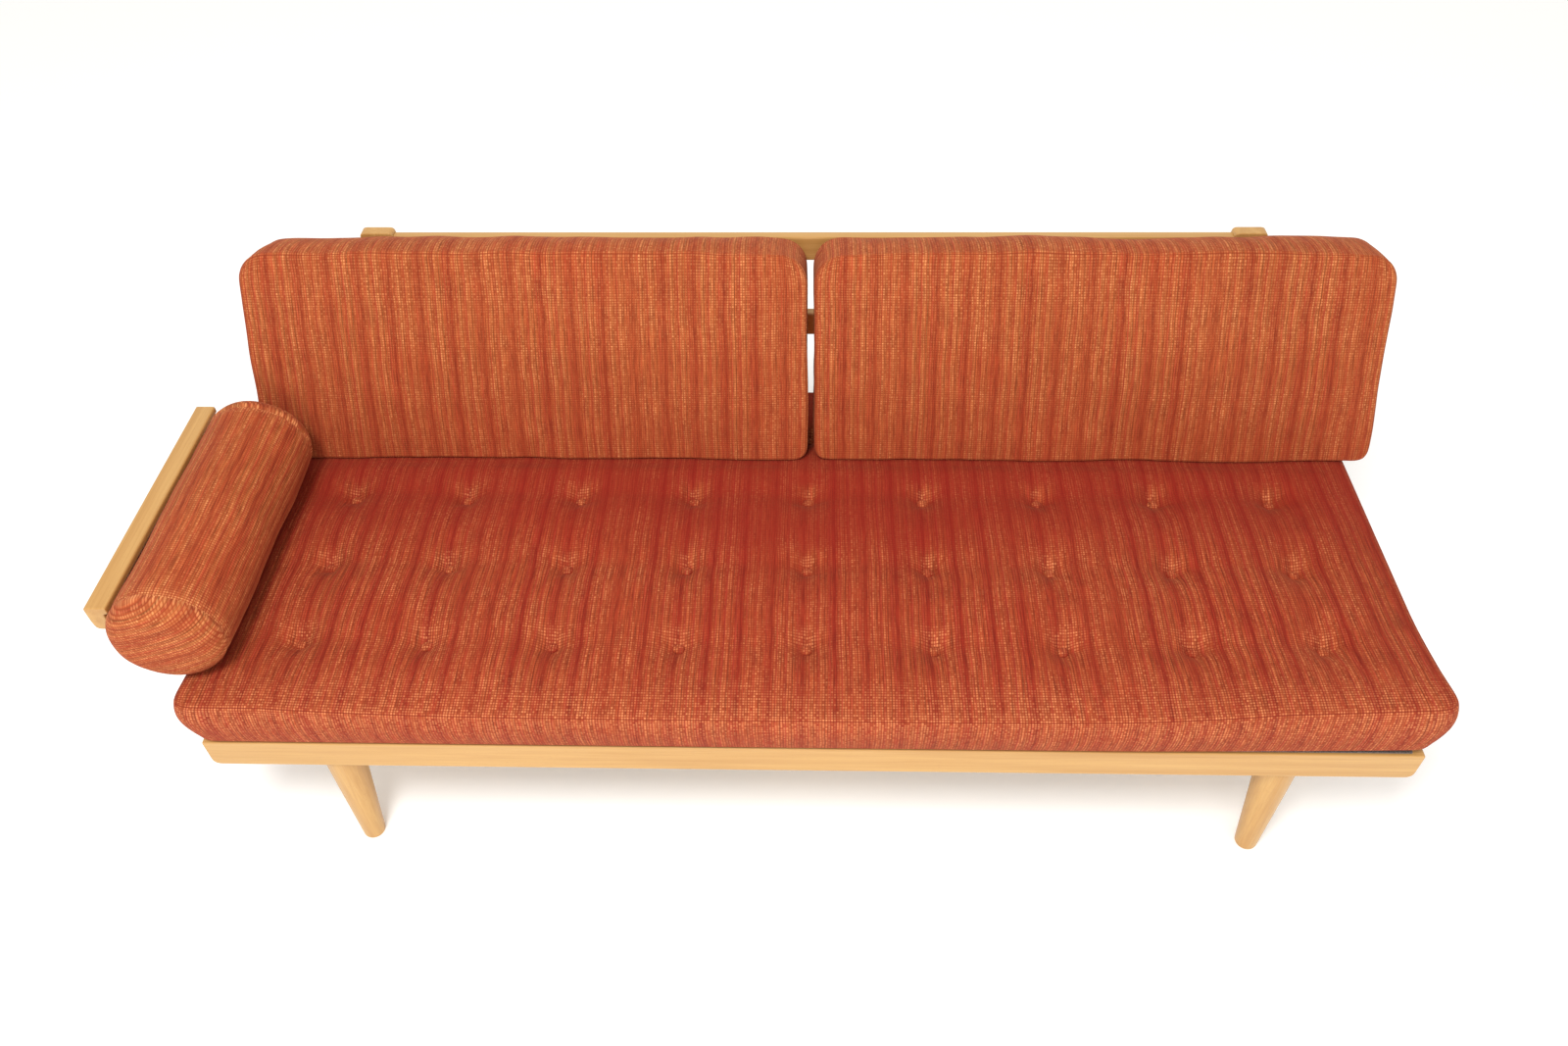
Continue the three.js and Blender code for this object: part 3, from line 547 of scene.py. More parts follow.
def round_corners(places, low, high, near_radius, far_radius=None):
    """Rounds the four corners of the panels, seen square on: near_radius at low b, far_radius at high b."""
    for signs in ((-1, -1), (1, -1), (1, 1), (-1, 1)):
        radius = near_radius if signs[1] < 0 or far_radius is None else far_radius
        inner = [(high[k] - radius) if signs[k] > 0 else (low[k] + radius) for k in (0, 1)]
        share = [(places[:, k] - inner[k]) * signs[k] / radius for k in (0, 1)]
        within = (share[0] > 0) & (share[1] > 0)
        s, t = share[0][within], share[1][within]
        places[within, 0] = inner[0] + signs[0] * radius * s * np.sqrt(1 - t * t / 2)
        places[within, 1] = inner[1] + signs[1] * radius * t * np.sqrt(1 - s * s / 2)
    return places


def fit_to(places, low, high):
    """Scales the filled cover so that it just fills its place."""
    for k in range(3):
        least, most = places[:, k].min(), places[:, k].max()
        places[:, k] = low[k] + (places[:, k] - least) * (high[k] - low[k]) / (most - least)
    return places


def smooth_step(values):
    """0 below nought, 1 above one, and an even curve between."""
    values = np.clip(values, 0, 1)
    return values * values * (3 - 2 * values)


def hill(distance, width):
    """1 at no distance, falling to about a third at width and to nothing beyond it."""
    return np.exp(-((distance / width) ** 2))


def swell(obj, pressure, cap, held=None):
    """Fills the cover by cloth simulation. held is a list of vertex numbers that stay where they are,
    and no point moves further than cap."""
    scene = bpy.context.scene
    rest = places_of(obj.data)
    cloth = obj.modifiers.new("Cloth", "CLOTH")
    settings = cloth.settings
    settings.quality = 6
    settings.mass = CLOTH_MASS
    settings.tension_stiffness = settings.compression_stiffness = CLOTH_STIFFNESS
    settings.shear_stiffness = CLOTH_STIFFNESS / 3
    settings.bending_stiffness = CLOTH_BENDING
    settings.use_pressure = True
    settings.uniform_pressure_force = pressure
    settings.effector_weights.gravity = 0.0
    if held is not None:
        group = obj.vertex_groups.new(name="held")
        group.add([int(i) for i in held], 1.0, "REPLACE")
        settings.vertex_group_mass = "held"
    cloth.point_cache.frame_start, cloth.point_cache.frame_end = 1, SWELL_FRAMES
    for frame in range(1, SWELL_FRAMES + 1):
        scene.frame_set(frame)
    shaped = obj.evaluated_get(bpy.context.evaluated_depsgraph_get())
    filled = places_of(shaped.data)
    moved = filled - rest
    far = np.linalg.norm(moved, axis=1)
    share = np.minimum(1.0, cap / np.maximum(far, 1e-9))
    obj.modifiers.remove(cloth)
    obj.vertex_groups.clear()
    scene.frame_set(1)
    place_all(obj.data, rest + moved * share[:, None])


def sink_seams(obj, depth):
    """Draws the stitched rows in and lets the cloth stand up a little on both sides of them."""
    seam = on_seam(obj.data)
    beside = np.zeros(len(seam), bool)
    for edge in obj.data.edges:
        a, b = edge.vertices
        if seam[a] != seam[b]:
            beside[b if seam[a] else a] = True
    places, normals = places_of(obj.data), normals_of(obj.data)
    places[seam] -= normals[seam] * depth
    places[beside] += normals[beside] * depth * BESIDE_SEAM
    place_all(obj.data, places)


def refine(obj):
    """Subdivides the cover once into a smooth surface, for good."""
    smooth = obj.modifiers.new("Subdivision", "SUBSURF")
    smooth.levels = smooth.render_levels = 1
    smooth.boundary_smooth = "PRESERVE_CORNERS"
    shaped = obj.evaluated_get(bpy.context.evaluated_depsgraph_get())
    mesh = bpy.data.meshes.new_from_object(shaped)
    obj.modifiers.remove(smooth)
    obj.data = mesh
    for face in mesh.polygons:
        face.use_smooth = True


def ripple(places, size, seed):
    """A smooth random height for each place, from -1 to 1 or so, with waves of about this size."""
    shift = Vector((seed * 3.1, seed * 7.7, seed * 1.9))
    return np.array([noise.noise(Vector(p) / size + shift) for p in places])


# ---------------------------------------------------------------- operators


class DAYBED_OT_stage(bpy.types.Operator):
    """Camera, soft light and a plain pale floor"""

    bl_idname = "daybed.stage"
    bl_label = "Stage"

    # Each lamp's size, place and what it points at.
    KEY_LAMP = (0.8, (-0.45, -1.72, 3.35), (0.0, 0.0, 0.35))
    FRONT_LAMP = (2.4, (0.3, -2.9, 1.15), (0.0, -0.3, 0.35))

    def execute(self, context):
        settings = context.scene.daybed_stage
        context.scene.view_settings.view_transform = "Standard"
        lens = bpy.data.cameras.new("camera")
        lens.sensor_width = 36.0
        lens.lens = settings.camera_lens
        camera = bpy.data.objects.new("camera", lens)
        context.scene.collection.objects.link(camera)
        aim = Matrix.Rotation(settings.camera_turn, 4, "Z")
        aim @= Matrix.Rotation(math.pi / 2 - settings.camera_down, 4, "X")
        aim @= Matrix.Rotation(settings.camera_roll, 4, "Z")
        camera.matrix_world = Matrix.Translation(Vector(settings.camera_place)) @ aim
        context.scene.camera = camera

        world = bpy.data.worlds.new("room")
        world.use_nodes = True
        background = world.node_tree.nodes["Background"]
        background.inputs["Color"].default_value = linear("FFFDFA")
        background.inputs["Strength"].default_value = settings.room_light
        context.scene.world = world

        self.area_light("key", settings.key_power, *self.KEY_LAMP)
        self.area_light("front", settings.front_power, *self.FRONT_LAMP)

        half = settings.floor_size / 2
        mesh = bpy.data.meshes.new("floor")
        corners = [(-half, -half, 0), (half, -half, 0), (half, half, 0), (-half, half, 0)]
        mesh.from_pydata(corners, [], [(0, 1, 2, 3)])
        floor = bpy.data.objects.new("floor", mesh)
        context.scene.collection.objects.link(floor)
        material, tree, shader = surface("floor_painted_white", Roughness=0.9)
        shader.inputs["Base Color"].default_value = linear("FAFAF9")
        shader.inputs["Emission Color"].default_value = linear("FFFEFC")
        shader.inputs["Emission Strength"].default_value = settings.floor_glow
        finish_with([floor], material)
        return {"FINISHED"}

    def area_light(self, name, power, size, place, target):
        lamp = bpy.data.lights.new(name, "AREA")
        lamp.energy = power
        lamp.size = size
        light = bpy.data.objects.new(name, lamp)
        light.location = place
        light.rotation_euler = (Vector(target) - Vector(place)).to_track_quat("-Z", "Y").to_euler()
        bpy.context.scene.collection.objects.link(light)


class DAYBED_OT_wood(bpy.types.Operator):
    """Lacquered rails, legs, back frame and arm, and bare boards under the mattress"""

    bl_idname = "daybed.wood"
    bl_label = "Wood"

    LACQUERED = {
        "x": ("front_rail", "rear_rail", "back_top_rail", "back_lower_rail"),
        "y": ("end_rail_left", "end_rail_right", "arm_rail"),
        "z": ("leg_front_left", "leg_front_right", "leg_rear_left", "leg_rear_right",
              "back_upright_left", "back_upright_right", "arm_post_front", "arm_post_rear"),
    }
    BARE = ("E3C79E", "D2B184")  # light and darker bands of the bare boards

    def execute(self, context):
        for along, names in self.LACQUERED.items():
            pieces = [NODES[name] for name in names]
            finish_with(pieces, beech(f"beech_lacquered_grain_{along}", along))
            soft_edges(pieces)
        bare = [linear(colour)[:3] for colour in self.BARE]
        boards = [node for name, node in NODES.items() if name.startswith(("slat_0", "slat_1", "bearer"))]
        ledgers = [node for name, node in NODES.items() if name.startswith("slat_ledger")]
        finish_with(boards, beech("beech_bare_grain_y", "y", bare, lacquered=False))
        finish_with(ledgers, beech("beech_bare_grain_x", "x", bare, lacquered=False))
        soft_edges(boards + ledgers)
        return {"FINISHED"}


class DAYBED_OT_metal(bpy.types.Operator):
    """Steel plates, cups, sleeves and bolts, and their screws"""

    bl_idname = "daybed.metal"
    bl_label = "Metal"

    def execute(self, context):
        screws = [node for name, node in NODES.items() if "_screw_" in name]
        steel = [
            node for name, node in NODES.items()
            if name.startswith(("leg_plate", "leg_bolt", "back_cup", "arm_sleeve"))
        ]
        finish_with(screws, brass())
        finish_with(steel, zinc_plated_steel())
        soft_edges(screws + steel)
        return {"FINISHED"}


class DAYBED_OT_plate_screws(bpy.types.Operator):
    """Countersunk screws that hold the four leg plates under the frame"""

    bl_idname = "daybed.plate_screws"
    bl_label = "Leg plate screws"

    INSET = 0.010  # from the plate's edges
    # Turned profile of a head: share of the radius and how far it stands down from the plate.
    PROFILE = ((1.0, -0.0002), (1.0, 0.0005), (0.8, 0.0012), (0.45, 0.0016), (0.4, 0.0006), (0.0, 0.0006))
    RADIUS = 0.0042
    SIDES = 20

    def execute(self, context):
        material = bpy.data.materials["brass_turned_aged"]
        for place in ("front_left", "front_right", "rear_left", "rear_right"):
            low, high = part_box(f"leg_plate_{place}")
            made = bmesh.new()
            for x in (low.x + self.INSET, high.x - self.INSET):
                for y in (low.y + self.INSET, high.y - self.INSET):
                    self.head(made, Vector((x, y, low.z)))
            screws = finished(made, f"leg_plate_screws_{place}")
            finish_with([screws], material)
            soft_edges([screws])
            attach(screws, "frame")
        return {"FINISHED"}

    def head(self, made, place):
        """One head seen from below, with a round recess for the driver; closed inside the plate."""
        rings = []
        for share, down in ((0.0, -0.0004), (0.9, -0.0004), *self.PROFILE):
            count = self.SIDES if share else 1
            rings.append([
                made.verts.new(place + Vector((
                    math.cos(math.tau * i / self.SIDES) * share * self.RADIUS,
                    math.sin(math.tau * i / self.SIDES) * share * self.RADIUS, -down,
                ))) for i in range(count)
            ])
        join_rings(made, rings)
        bmesh.ops.recalc_face_normals(made, faces=made.faces)


class DAYBED_OT_underlay(bpy.types.Operator):
    """Felt underlay between the slats and the mattress"""

    bl_idname = "daybed.underlay"
    bl_label = "Underlay"

    STEP = 0.03
    CUT_EDGE = 0.0015  # width of the cut edge, and its thickness beside the sheet's
    CUT_SHARE = 0.75

    def execute(self, context):
        size = UNDERLAY_HIGH - UNDERLAY_LOW
        rows = [seamed_rows(size.x, self.STEP), seamed_rows(size.y, self.STEP), [0.0, size.z / 2, size.z]]
        felt = boxed_cover("felt_underlay_sheet", UNDERLAY_LOW, rows)
        places = places_of(felt.data)
        middle = (UNDERLAY_LOW.z + UNDERLAY_HIGH.z) / 2
        edge = np.minimum.reduce([
            places[:, 0] - UNDERLAY_LOW.x, UNDERLAY_HIGH.x - places[:, 0],
            places[:, 1] - UNDERLAY_LOW.y, UNDERLAY_HIGH.y - places[:, 1],
        ])
        # The cut edge is a little thinner than the sheet.
        thin = np.where(edge < self.CUT_EDGE, self.CUT_SHARE, 1.0)
        places[:, 2] = middle + (places[:, 2] - middle) * thin
        place_all(felt.data, places)
        refine(felt)
        finish_with([felt], needled_felt())
        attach(felt, "frame")
        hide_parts("felt_underlay")
        return {"FINISHED"}


def button_places(settings):
    """Centres of the buttons on the mattress, as (x, y), row by row from the front."""
    middle = (SEAT_LOW.x + SEAT_HIGH.x) / 2
    xs = [middle + (i - (settings.columns - 1) / 2) * settings.pitch for i in range(settings.columns)]
    ys = [SEAT_LOW.y + settings.first_row + j * settings.row_pitch for j in range(settings.rows)]
    return [[(x, y) for x in xs] for y in ys]


class DAYBED_OT_mattress(bpy.types.Operator):
    """Mattress with a sewn border, pulled down by its buttons"""

    bl_idname = "daybed.mattress"
    bl_label = "Mattress"

    INSET = 0.004
    FOOT = 0.001  # how much narrower the bottom panel is at each end
    CORNER_SWELL = 0.006  # how much further the filled front corners stand out
    STEP = 0.0126  # of the rows of the cover
    BORDER_STEP = 0.011
    PRESSURE = 7.0
    BUTTON_HOLD = 0.009  # the cover is held down within this distance of a button
    ROW_CREASE = 0.0032
    COLUMN_CREASE = 0.0014
    SAG = 0.010  # of the front edge, along its middle
    PUSH = 0.007  # of the same edge, forwards
    LIFT = 0.020  # of the right front corner
    # How much each mark lightens the cloth with painted highlight, or deepens the red where it is less than
    # nought: the patch is a worn spot, the rear is painted shade.
    EDGE_WEAR, BORDER_WEAR, BUTTON_WEAR = 0.30, 0.18, 0.42
    PATCH_WEAR, REAR_WEAR = -0.95, -0.95

    def execute(self, context):
        settings = context.scene.daybed_seat
        low = SEAT_LOW + Vector((self.INSET, self.INSET, 0.0))
        high = SEAT_HIGH - Vector((self.INSET, self.INSET, 0.003))
        size = high - low
        rows_of_buttons = button_places(settings)
        xs = [x - low.x for x, _ in rows_of_buttons[0]]
        ys = [row[0][1] - low.y for row in rows_of_buttons]
        rows = [
            seamed_rows(size.x, self.STEP, xs), seamed_rows(size.y, self.STEP, ys),
            seamed_rows(size.z, self.BORDER_STEP),
        ]
        cover = boxed_cover("mattress_cover", low, rows)
        places = round_corners(places_of(cover.data), low, high, settings.corner)
        top = places[:, 2] > high.z - 1e-5
        bottom = places[:, 2] < low.z + 1e-5
        buttons = np.array([place for row in rows_of_buttons for place in row])
        away = np.linalg.norm(places[:, None, :2] - buttons[None], axis=2).min(1)
        pulled = top & (away < self.BUTTON_HOLD)
        place_all(cover.data, places)
        held = np.flatnonzero(bottom | pulled | on_seam(cover.data))
        swell(cover, self.PRESSURE, settings.crown, held)
        places = places_of(cover.data)
        self.fill_border(places, settings)
        self.pull_buttons(places, top, buttons, settings)
        self.settle(places)
        self.flatten(places, top)
        place_all(cover.data, places)
        sink_seams(cover, context.scene.daybed_fabric.seam_depth)
        refine(cover)
        self.pinch(cover, buttons)
        self.wear_in(cover, buttons)
        finish_with([cover], striped_wool("wool_woven_striped_seat", "seat"))
        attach(cover, "mattress")
        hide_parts("mattress")
        return {"FINISHED"}

    def height(self, places):
        """0 at the bottom of the mattress and 1 at its top."""
        return np.clip((places[:, 2] - SEAT_LOW.z) / (SEAT_HIGH.z - SEAT_LOW.z), 0, 1)

    def fill_border(self, places, settings):
        """The filling pushes the border out in the middle of its height, most at the two ends."""
        middle = (SEAT_LOW + SEAT_HIGH) / 2
        half = (SEAT_HIGH - SEAT_LOW) / 2
        height = self.height(places)
        full = np.sin(math.pi * height ** 1.2) ** 0.8
        along = (places[:, 0] - middle.x) / half.x
        depth = (places[:, 1] - middle.y) / half.y
        end = smooth_step((np.abs(along) - 0.93) / 0.07)
        front = smooth_step((-depth - 0.82) / 0.18)
        out = settings.end_bulge * full - self.FOOT * (1 - height)
        out += self.CORNER_SWELL * height * smooth_step((-depth - 0.75) / 0.25)
        places[:, 0] += np.sign(along) * end * out
        places[:, 1] -= front * (settings.front_bulge * full - 1.2 * self.FOOT * (1 - height))

    def pull_buttons(self, places, top, buttons, settings):
        """Each button draws a funnel into the top, and shallow creases run along the rows of buttons."""
        away = np.maximum(np.linalg.norm(places[top, None, :2] - buttons[None], axis=2).min(1) - 0.006, 0)
        to_row = np.abs(places[top, 1][:, None] - np.unique(buttons[:, 1])[None]).min(1)
        to_column = np.abs(places[top, 0][:, None] - np.unique(buttons[:, 0])[None]).min(1)
        inside = smooth_step((places[top, 0] - buttons[:, 0].min() + 0.1) / 0.1)
        inside *= smooth_step((buttons[:, 0].max() + 0.1 - places[top, 0]) / 0.1)
        drop = settings.dip * (0.62 * hill(away, 0.015) + 0.38 * hill(away, 0.042))
        drop += inside * self.ROW_CREASE * hill(to_row, 0.016)
        drop += self.COLUMN_CREASE * hill(to_column, 0.02) * smooth_step(1.6 - to_row / 0.06)
        places[top, 2] -= drop

    def settle(self, places):
        """The filling has sagged along the middle of the front, whose edge is pushed forward, and the
        right front corner has lifted off the frame."""
        height = self.height(places)
        x = (places[:, 0] - SEAT_LOW.x) / (SEAT_HIGH.x - SEAT_LOW.x)
        front = 1 - smooth_step((places[:, 1] - SEAT_LOW.y) / 0.22)
        sag = np.clip(1 - ((x - 0.47) / 0.40) ** 4, 0, 1)
        right = np.clip((x - 0.74) / 0.26, 0, 1) ** 1.5
        places[:, 2] += front * (self.LIFT * right * (0.6 + 0.4 * height) - self.SAG * sag * height)
        places[:, 1] -= front * height * (self.PUSH * sag - 0.006 * right)

    def flatten(self, places, top):
        """What lies on the mattress keeps it flat: back cushions along the rear, a bolster at the left."""
        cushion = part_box("back_cushion_left")[0].y
        under = smooth_step((places[:, 1] - cushion + 0.02) / 0.02)
        under = np.maximum(under, smooth_step((BOLSTER_HIGH.x - 0.04 - places[:, 0]) / 0.05))
        above = np.maximum(places[:, 2] - (SEAT_HIGH.z - 0.0005), 0)
        places[:, 2] -= np.where(top, above * under, 0)

    def pinch(self, cover, buttons):
        """Short folds that run out from each button."""
        places = places_of(cover.data)
        chance = random.Random(4)
        top = places[:, 2] > SEAT_LOW.z + 0.05
        for x, y in buttons:
            near = top & (np.abs(places[:, 0] - x) < 0.06) & (np.abs(places[:, 1] - y) < 0.06)
            offset = places[near, :2] - (x, y)
            far = np.linalg.norm(offset, axis=1)
            turn = np.arctan2(offset[:, 1], offset[:, 0])
            folds = np.cos(5 * turn + chance.uniform(0, 6)) + 0.6 * np.cos(8 * turn + chance.uniform(0, 6))
            places[near, 2] -= 0.0025 * hill(far, 0.013) + 0.0013 * folds * hill(far - 0.02, 0.012)
        place_all(cover.data, places)

    def wear_in(self, cover, buttons):
        """Painted highlight in a fan behind each button, where the cloth slopes up towards the lamps, and
        over the front edge and border, which face the front lamp;
        a deep red patch where nobody sits, in the middle towards the back; and painted shade in deeper red
        over the rear, under the back cushions."""
        places = places_of(cover.data)
        # Painted highlight in a fan behind each button, where the cloth slopes up towards the lamps.
        rubbed = np.zeros(len(places))
        for x, y in buttons:
            dx, dy = places[:, 0] - x, places[:, 1] - y
            width = 0.014 + 0.5 * np.clip(dy, 0, 0.06)
            rubbed += hill(dx, width) * hill(dy - 0.016, 0.018)
        front = SEAT_LOW.y - 0.006
        height = places[:, 2] - SEAT_LOW.z
        behind = places[:, 1] - front
        # Painted highlight over the front edge and the front border, which face the front lamp.
        edge = hill(behind - 0.02, 0.045) * smooth_step((height - 0.03) / 0.05)
        border = smooth_step((0.02 - behind) / 0.01)
        middle = (SEAT_LOW.x + SEAT_HIGH.x) / 2
        patch = hill(places[:, 0] - middle - 0.03, 0.26) * hill(behind - 0.40, 0.17)
        blotches = 0.65 + 0.6 * ripple(places * (1.0, 0.4, 1.0), 0.07, 2)
        wear = self.EDGE_WEAR * edge + self.BORDER_WEAR * border + self.PATCH_WEAR * patch * blotches
        # Painted shade: deeper red towards the rear, under the back cushions.
        wear += self.REAR_WEAR * smooth_step((behind - 0.26) / 0.22)
        wear = wear * (1 - np.clip(rubbed, 0, 1)) + self.BUTTON_WEAR * rubbed
        mark(cover, "wear", wear)


class DAYBED_OT_buttons(bpy.types.Operator):
    """Buttons covered with the seat's cloth, nine in each row"""

    bl_idname = "daybed.buttons"
    bl_label = "Buttons"

    # Profile of a button: shares of its radius and of its height.
    RINGS = (
        (0.0, 1.0), (0.35, 0.95), (0.65, 0.78), (0.85, 0.5), (0.97, 0.12), (1.0, -0.2), (0.9, -0.5),
        (0.0, -0.55),
    )
    SIDES = 24
    DOME = 0.0046
    STANDS = 0.0022  # how far the button's rim stands above the cover
    TUCKS = 0.035

    def execute(self, context):
        settings = context.scene.daybed_seat
        material = bpy.data.materials["wool_woven_striped_seat"]
        chance = random.Random(11)
        cover = bpy.data.objects["mattress_cover"]
        for number, row in enumerate(button_places(settings), 1):
            made = bmesh.new()
            cloth = made.loops.layers.uv.new("cloth")
            for x, y in row:
                hit, place, _, _ = cover.ray_cast(Vector((x, y, SEAT_HIGH.z + 0.1)), Vector((0, 0, -1)))
                if not hit:
                    raise RuntimeError("a button lies off the mattress")
                tilt = Matrix.Rotation(chance.uniform(-0.12, 0.12), 3, "X")
                tilt @= Matrix.Rotation(chance.uniform(-0.1, 0.1), 3, "Y")
                self.dome(made, cloth, place + Vector((0, 0, self.STANDS)), tilt, settings.button / 2, chance)
            buttons = finished(made, f"mattress_buttons_row_{number}")
            refine(buttons)
            # Painted light: the top of a button faces up and gets painted highlight; its rim gets painted
            # shade in deep red.
            mark(buttons, "wear", 1.5 * normals_of(buttons.data)[:, 2] - 1.1)
            finish_with([buttons], material)
            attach(buttons, "mattress")
        return {"FINISHED"}

    def dome(self, made, cloth, place, tilt, radius, chance):
        """One covered button, a low dome with a few tucks in its cloth."""
        phase = chance.uniform(0, 6)
        shift = Vector((chance.uniform(0, 0.048), chance.uniform(0, 0.048)))
        rings = []
        for share, height in self.RINGS:
            if share == 0.0:
                rings.append([made.verts.new(place + tilt @ Vector((0, 0, height * self.DOME)))])
                continue
            ring = []
            for i in range(self.SIDES):
                turn = math.tau * i / self.SIDES
                tuck = 1 + self.TUCKS * math.cos(4 * turn + phase) * share
                spot = Vector((math.cos(turn), math.sin(turn), 0)) * radius * share * tuck
                spot.z = height * self.DOME * (1 + 0.12 * math.cos(3 * turn + phase) * share)
                ring.append(made.verts.new(place + tilt @ spot))
            rings.append(ring)
        for face in join_rings(made, rings):
            for loop in face.loops:
                loop[cloth].uv = loop.vert.co.xy + shift


class DAYBED_OT_back_cushions(bpy.types.Operator):
    """Two loose cushions that stand on the mattress and lean on the back frame"""

    bl_idname = "daybed.back_cushions"
    bl_label = "Back cushions"

    INSET = 0.008
    STEP = 0.011  # of the rows of the cover
    PRESSURE = 2.0
    TOP_WEAR = 0.12  # painted highlight towards the top, and painted shade in deeper red towards the foot
    FOOT_WEAR = -0.4
    BODIES = {"back_cushion_left": "cushion_left", "back_cushion_right": "cushion_right"}

    def execute(self, context):
        settings = context.scene.daybed_back
        material = striped_wool("wool_woven_striped_back", "back")
        for seed, (node, body) in enumerate(self.BODIES.items(), 1):
            # In the leaning cushion's own axes, x runs along it, y up its face and z out of its front.
            lean = Matrix.Rotation(math.pi / 2 - settings.lean, 3, "X")
            turned = lean.transposed()
            corners = np.array([turned @ v.co for v in NODES[node].data.vertices])
            low, high = Vector(corners.min(0)), Vector(corners.max(0))
            low += Vector((self.INSET,) * 3)
            size = high - low - Vector((self.INSET,) * 3)
            rows = [seamed_rows(length, self.STEP) for length in size]
            cover = boxed_cover(f"{node}_cover", low, rows, end_stripes="along")
            places = round_corners(
                places_of(cover.data), low, low + size, settings.foot_corner, settings.top_corner
            )
            place_all(cover.data, places)
            held = np.flatnonzero(on_seam(cover.data))
            swell(cover, self.PRESSURE, settings.swell, held)
            places = fit_to(places_of(cover.data), corners.min(0), corners.max(0))
            self.lean_out(places, corners.min(0), corners.max(0), 1 if seed == 2 else -1, settings)
            place_all(cover.data, places)
            self.crumple(cover, seed)
            sink_seams(cover, context.scene.daybed_fabric.seam_depth)
            refine(cover)
            up = places_of(cover.data)[:, 1]
            up = (up - up.min()) / (up.max() - up.min())
            # Painted highlight towards the top and painted shade towards the foot.
            wear = self.TOP_WEAR * smooth_step((up - 0.35) / 0.6)
            mark(cover, "wear", wear + self.FOOT_WEAR * smooth_step((0.6 - up) / 0.6))
            cover.data.transform(lean.to_4x4())
            self.stand(cover)
            finish_with([cover], material)
            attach(cover, body)
            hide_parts(node)
        return {"FINISHED"}

    def lean_out(self, places, low, high, outer, settings):
        """The filling has sunk: the outer end spreads towards its foot and the inner end nearly touches
        the other cushion, while the upper border stays swollen, in waves."""
        along = (places[:, 0] - low[0]) / (high[0] - low[0])
        up = (places[:, 1] - low[1]) / (high[1] - low[1])
        through = np.clip((places[:, 2] - low[2]) / (high[2] - low[2]), 0, 1)
        towards = along if outer > 0 else 1 - along
        places[:, 0] += outer * settings.spread * (1 - up) * towards
        places[:, 0] -= outer * 0.004 * (1 - towards)
        across = 1 - np.abs(2 * along - 1) ** 6
        waves = ripple(np.stack([places[:, 0], 0 * along, 0 * along], axis=1), 0.07, 3 + outer)
        swollen = settings.head * np.sin(math.pi * np.clip(through, 0.0, 1.0) ** 1.3) ** 0.7
        places[:, 1] += smooth_step((up - 0.9) / 0.1) * across * (swollen + 0.003 * waves)

    def crumple(self, cover, seed):
        """Shallow waves of the filling under the cloth."""
        places, normals = places_of(cover.data), normals_of(cover.data)
        waves = ripple(places, 0.16, seed) * 0.005 + ripple(places, 0.05, seed + 5) * 0.0015
        place_all(cover.data, places + normals * waves[:, None])

    def stand(self, cover):
        """The lower edge rests flat on the mattress."""
        places = places_of(cover.data)
        places[:, 2] = np.maximum(places[:, 2], SEAT_HIGH.z + RESTING_GAP)
        place_all(cover.data, places)


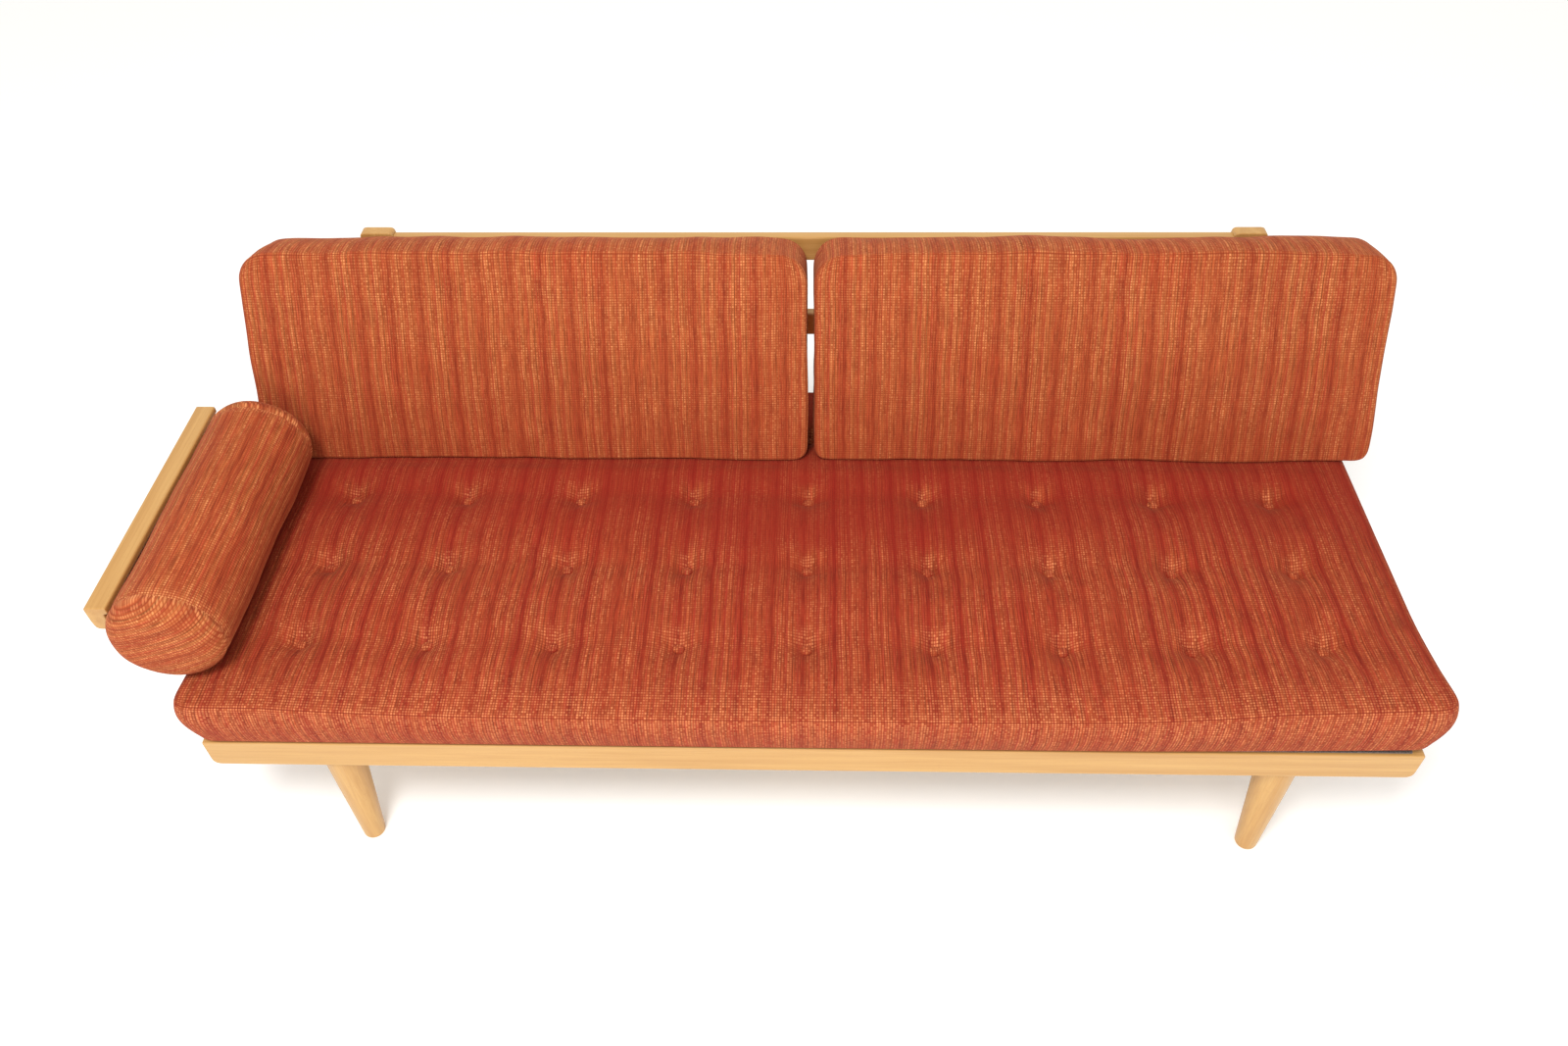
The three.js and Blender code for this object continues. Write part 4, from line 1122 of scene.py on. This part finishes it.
class DAYBED_OT_bolster(bpy.types.Operator):
    """Round bolster with stuffed ends, lying against the arm"""

    bl_idname = "daybed.bolster"
    bl_label = "Bolster"

    SIDES = 72
    END_RINGS = 14
    END_TURN = math.radians(20)  # of the stripes on the ends
    PRESSURE = 2.5
    # Painted highlight at the seams and on the stuffed ends.
    SEAM_WEAR, END_WEAR = 0.4, 0.2
    SEAM_SHOWS = 0.66  # 1 for painted seam shade as dark as the mattress's

    def execute(self, context):
        settings = context.scene.daybed_bolster
        centre = (BOLSTER_LOW + BOLSTER_HIGH) / 2
        radius = (BOLSTER_HIGH.x - BOLSTER_LOW.x) / 2 - 0.003
        length = BOLSTER_HIGH.y - BOLSTER_LOW.y - 0.006
        bolster = self.roll(centre, radius, length, settings.end_round)
        swell(bolster, self.PRESSURE, settings.swell)
        grown = Vector((0.002, 0.001, 0.0))
        place_all(bolster.data, fit_to(places_of(bolster.data), BOLSTER_LOW - grown, BOLSTER_HIGH + grown))
        places, normals = places_of(bolster.data), normals_of(bolster.data)
        waves = ripple(places, 0.12, 9) * 0.003 + ripple(places, 0.04, 3) * 0.001
        place_all(bolster.data, places + normals * waves[:, None])
        sink_seams(bolster, context.scene.daybed_fabric.seam_depth * 1.2)
        refine(bolster)
        places = places_of(bolster.data)
        places[:, 2] = np.maximum(places[:, 2], SEAT_HIGH.z + RESTING_GAP)
        place_all(bolster.data, places)
        # Painted highlight where the cloth puckers at the seams, and a little on the stuffed ends.
        past_seam = np.abs(places[:, 1] - centre.y) - (length / 2 - settings.end_round)
        mark(bolster, "wear", self.SEAM_WEAR * hill(past_seam, 0.012) + self.END_WEAR * (past_seam > 0))
        finish_with([bolster], bpy.data.materials["wool_woven_striped_back"])
        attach(bolster, "bolster")
        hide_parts("bolster")
        return {"FINISHED"}

    def roll(self, centre, radius, length, end_round):
        """The cover: a sewn tube and two round ends, with the stripes along the tube."""
        profile = []
        for i in range(self.END_RINGS):
            turn = math.pi / 2 * (1 - i / (self.END_RINGS - 1))
            flat = radius - end_round
            out = flat + end_round * math.cos(turn)
            profile.append((-length / 2 + end_round * (1 - math.sin(turn)), out))
        # The flat middle of the end.
        flat_rings = [(-length / 2, (radius - end_round) * share) for share in (0.0, 0.2, 0.4, 0.6, 0.8)]
        left = flat_rings + profile
        body = [(place, radius) for place in rows_between([left[-1][0], -left[-1][0]], 0.011)[1:-1]]
        right = [(-place, out) for place, out in reversed(left)]
        rings = left + body + right
        seam_at = {len(left) - 1, len(left) + len(body)}
        made = bmesh.new()
        cloth = made.loops.layers.uv.new("cloth")
        loops, marks = [], []
        for number, (along, out) in enumerate(rings):
            count = 1 if out == 0.0 else self.SIDES
            loops.append([])
            for i in range(count):
                turn = math.tau * i / self.SIDES
                spot = Vector((math.cos(turn) * out, along, math.sin(turn) * out))
                loops[-1].append(made.verts.new(centre + spot))
                marks.append(self.SEAM_SHOWS if number in seam_at else 0.0)
        lean = Matrix.Rotation(self.END_TURN, 2)
        for number, (near, far) in enumerate(zip(loops, loops[1:])):
            end = number < len(left) - 1 or number >= len(left) + len(body)
            for i in range(self.SIDES):
                # Each corner with its number round the ring, which runs on past the last one.
                around = ((near, i), (near, i + 1), (far, i + 1), (far, i))
                turns = {ring[k % len(ring)]: k for ring, k in around}
                for loop in made.faces.new(list(turns)).loops:
                    spot = loop.vert.co - centre
                    if end:
                        loop[cloth].uv = lean @ Vector((spot.z, spot.x + spot.y * 0.2))
                    else:
                        loop[cloth].uv = (turns[loop.vert] * math.tau / self.SIDES * radius, spot.y)
        bmesh.ops.recalc_face_normals(made, faces=made.faces)
        bolster = finished(made, "bolster_cover")
        mark(bolster, "seam", marks)
        return bolster


class DAYBED_PT_panel(bpy.types.Panel):
    """Lists the daybed's pieces in the 3D view's sidebar"""

    bl_label = "Daybed"
    bl_idname = "DAYBED_PT_panel"
    bl_space_type = "VIEW_3D"
    bl_region_type = "UI"
    bl_category = "Daybed"

    def draw(self, context):
        for operator in OPERATORS:
            self.layout.operator(operator.bl_idname)


OPERATORS = (
    DAYBED_OT_stage, DAYBED_OT_wood, DAYBED_OT_metal, DAYBED_OT_plate_screws, DAYBED_OT_underlay,
    DAYBED_OT_mattress, DAYBED_OT_buttons, DAYBED_OT_back_cushions, DAYBED_OT_bolster,
)
SETTINGS = {
    "daybed_stage": DaybedStageSettings,
    "daybed_fabric": DaybedFabricSettings,
    "daybed_seat": DaybedSeatSettings,
    "daybed_back": DaybedBackSettings,
    "daybed_bolster": DaybedBolsterSettings,
    "daybed_wood": DaybedWoodSettings,
}


def register():
    for name, group in SETTINGS.items():
        bpy.utils.register_class(group)
        setattr(bpy.types.Scene, name, bpy.props.PointerProperty(type=group))
    for operator in OPERATORS:
        bpy.utils.register_class(operator)
    bpy.utils.register_class(DAYBED_PT_panel)


def unregister():
    bpy.utils.unregister_class(DAYBED_PT_panel)
    for operator in reversed(OPERATORS):
        bpy.utils.unregister_class(operator)
    for name, group in SETTINGS.items():
        delattr(bpy.types.Scene, name)
        bpy.utils.unregister_class(group)


def main():
    register()
    for operator in OPERATORS:
        group, name = operator.bl_idname.split(".")
        getattr(getattr(bpy.ops, group), name)()


if __name__ == "__main__":
    main()
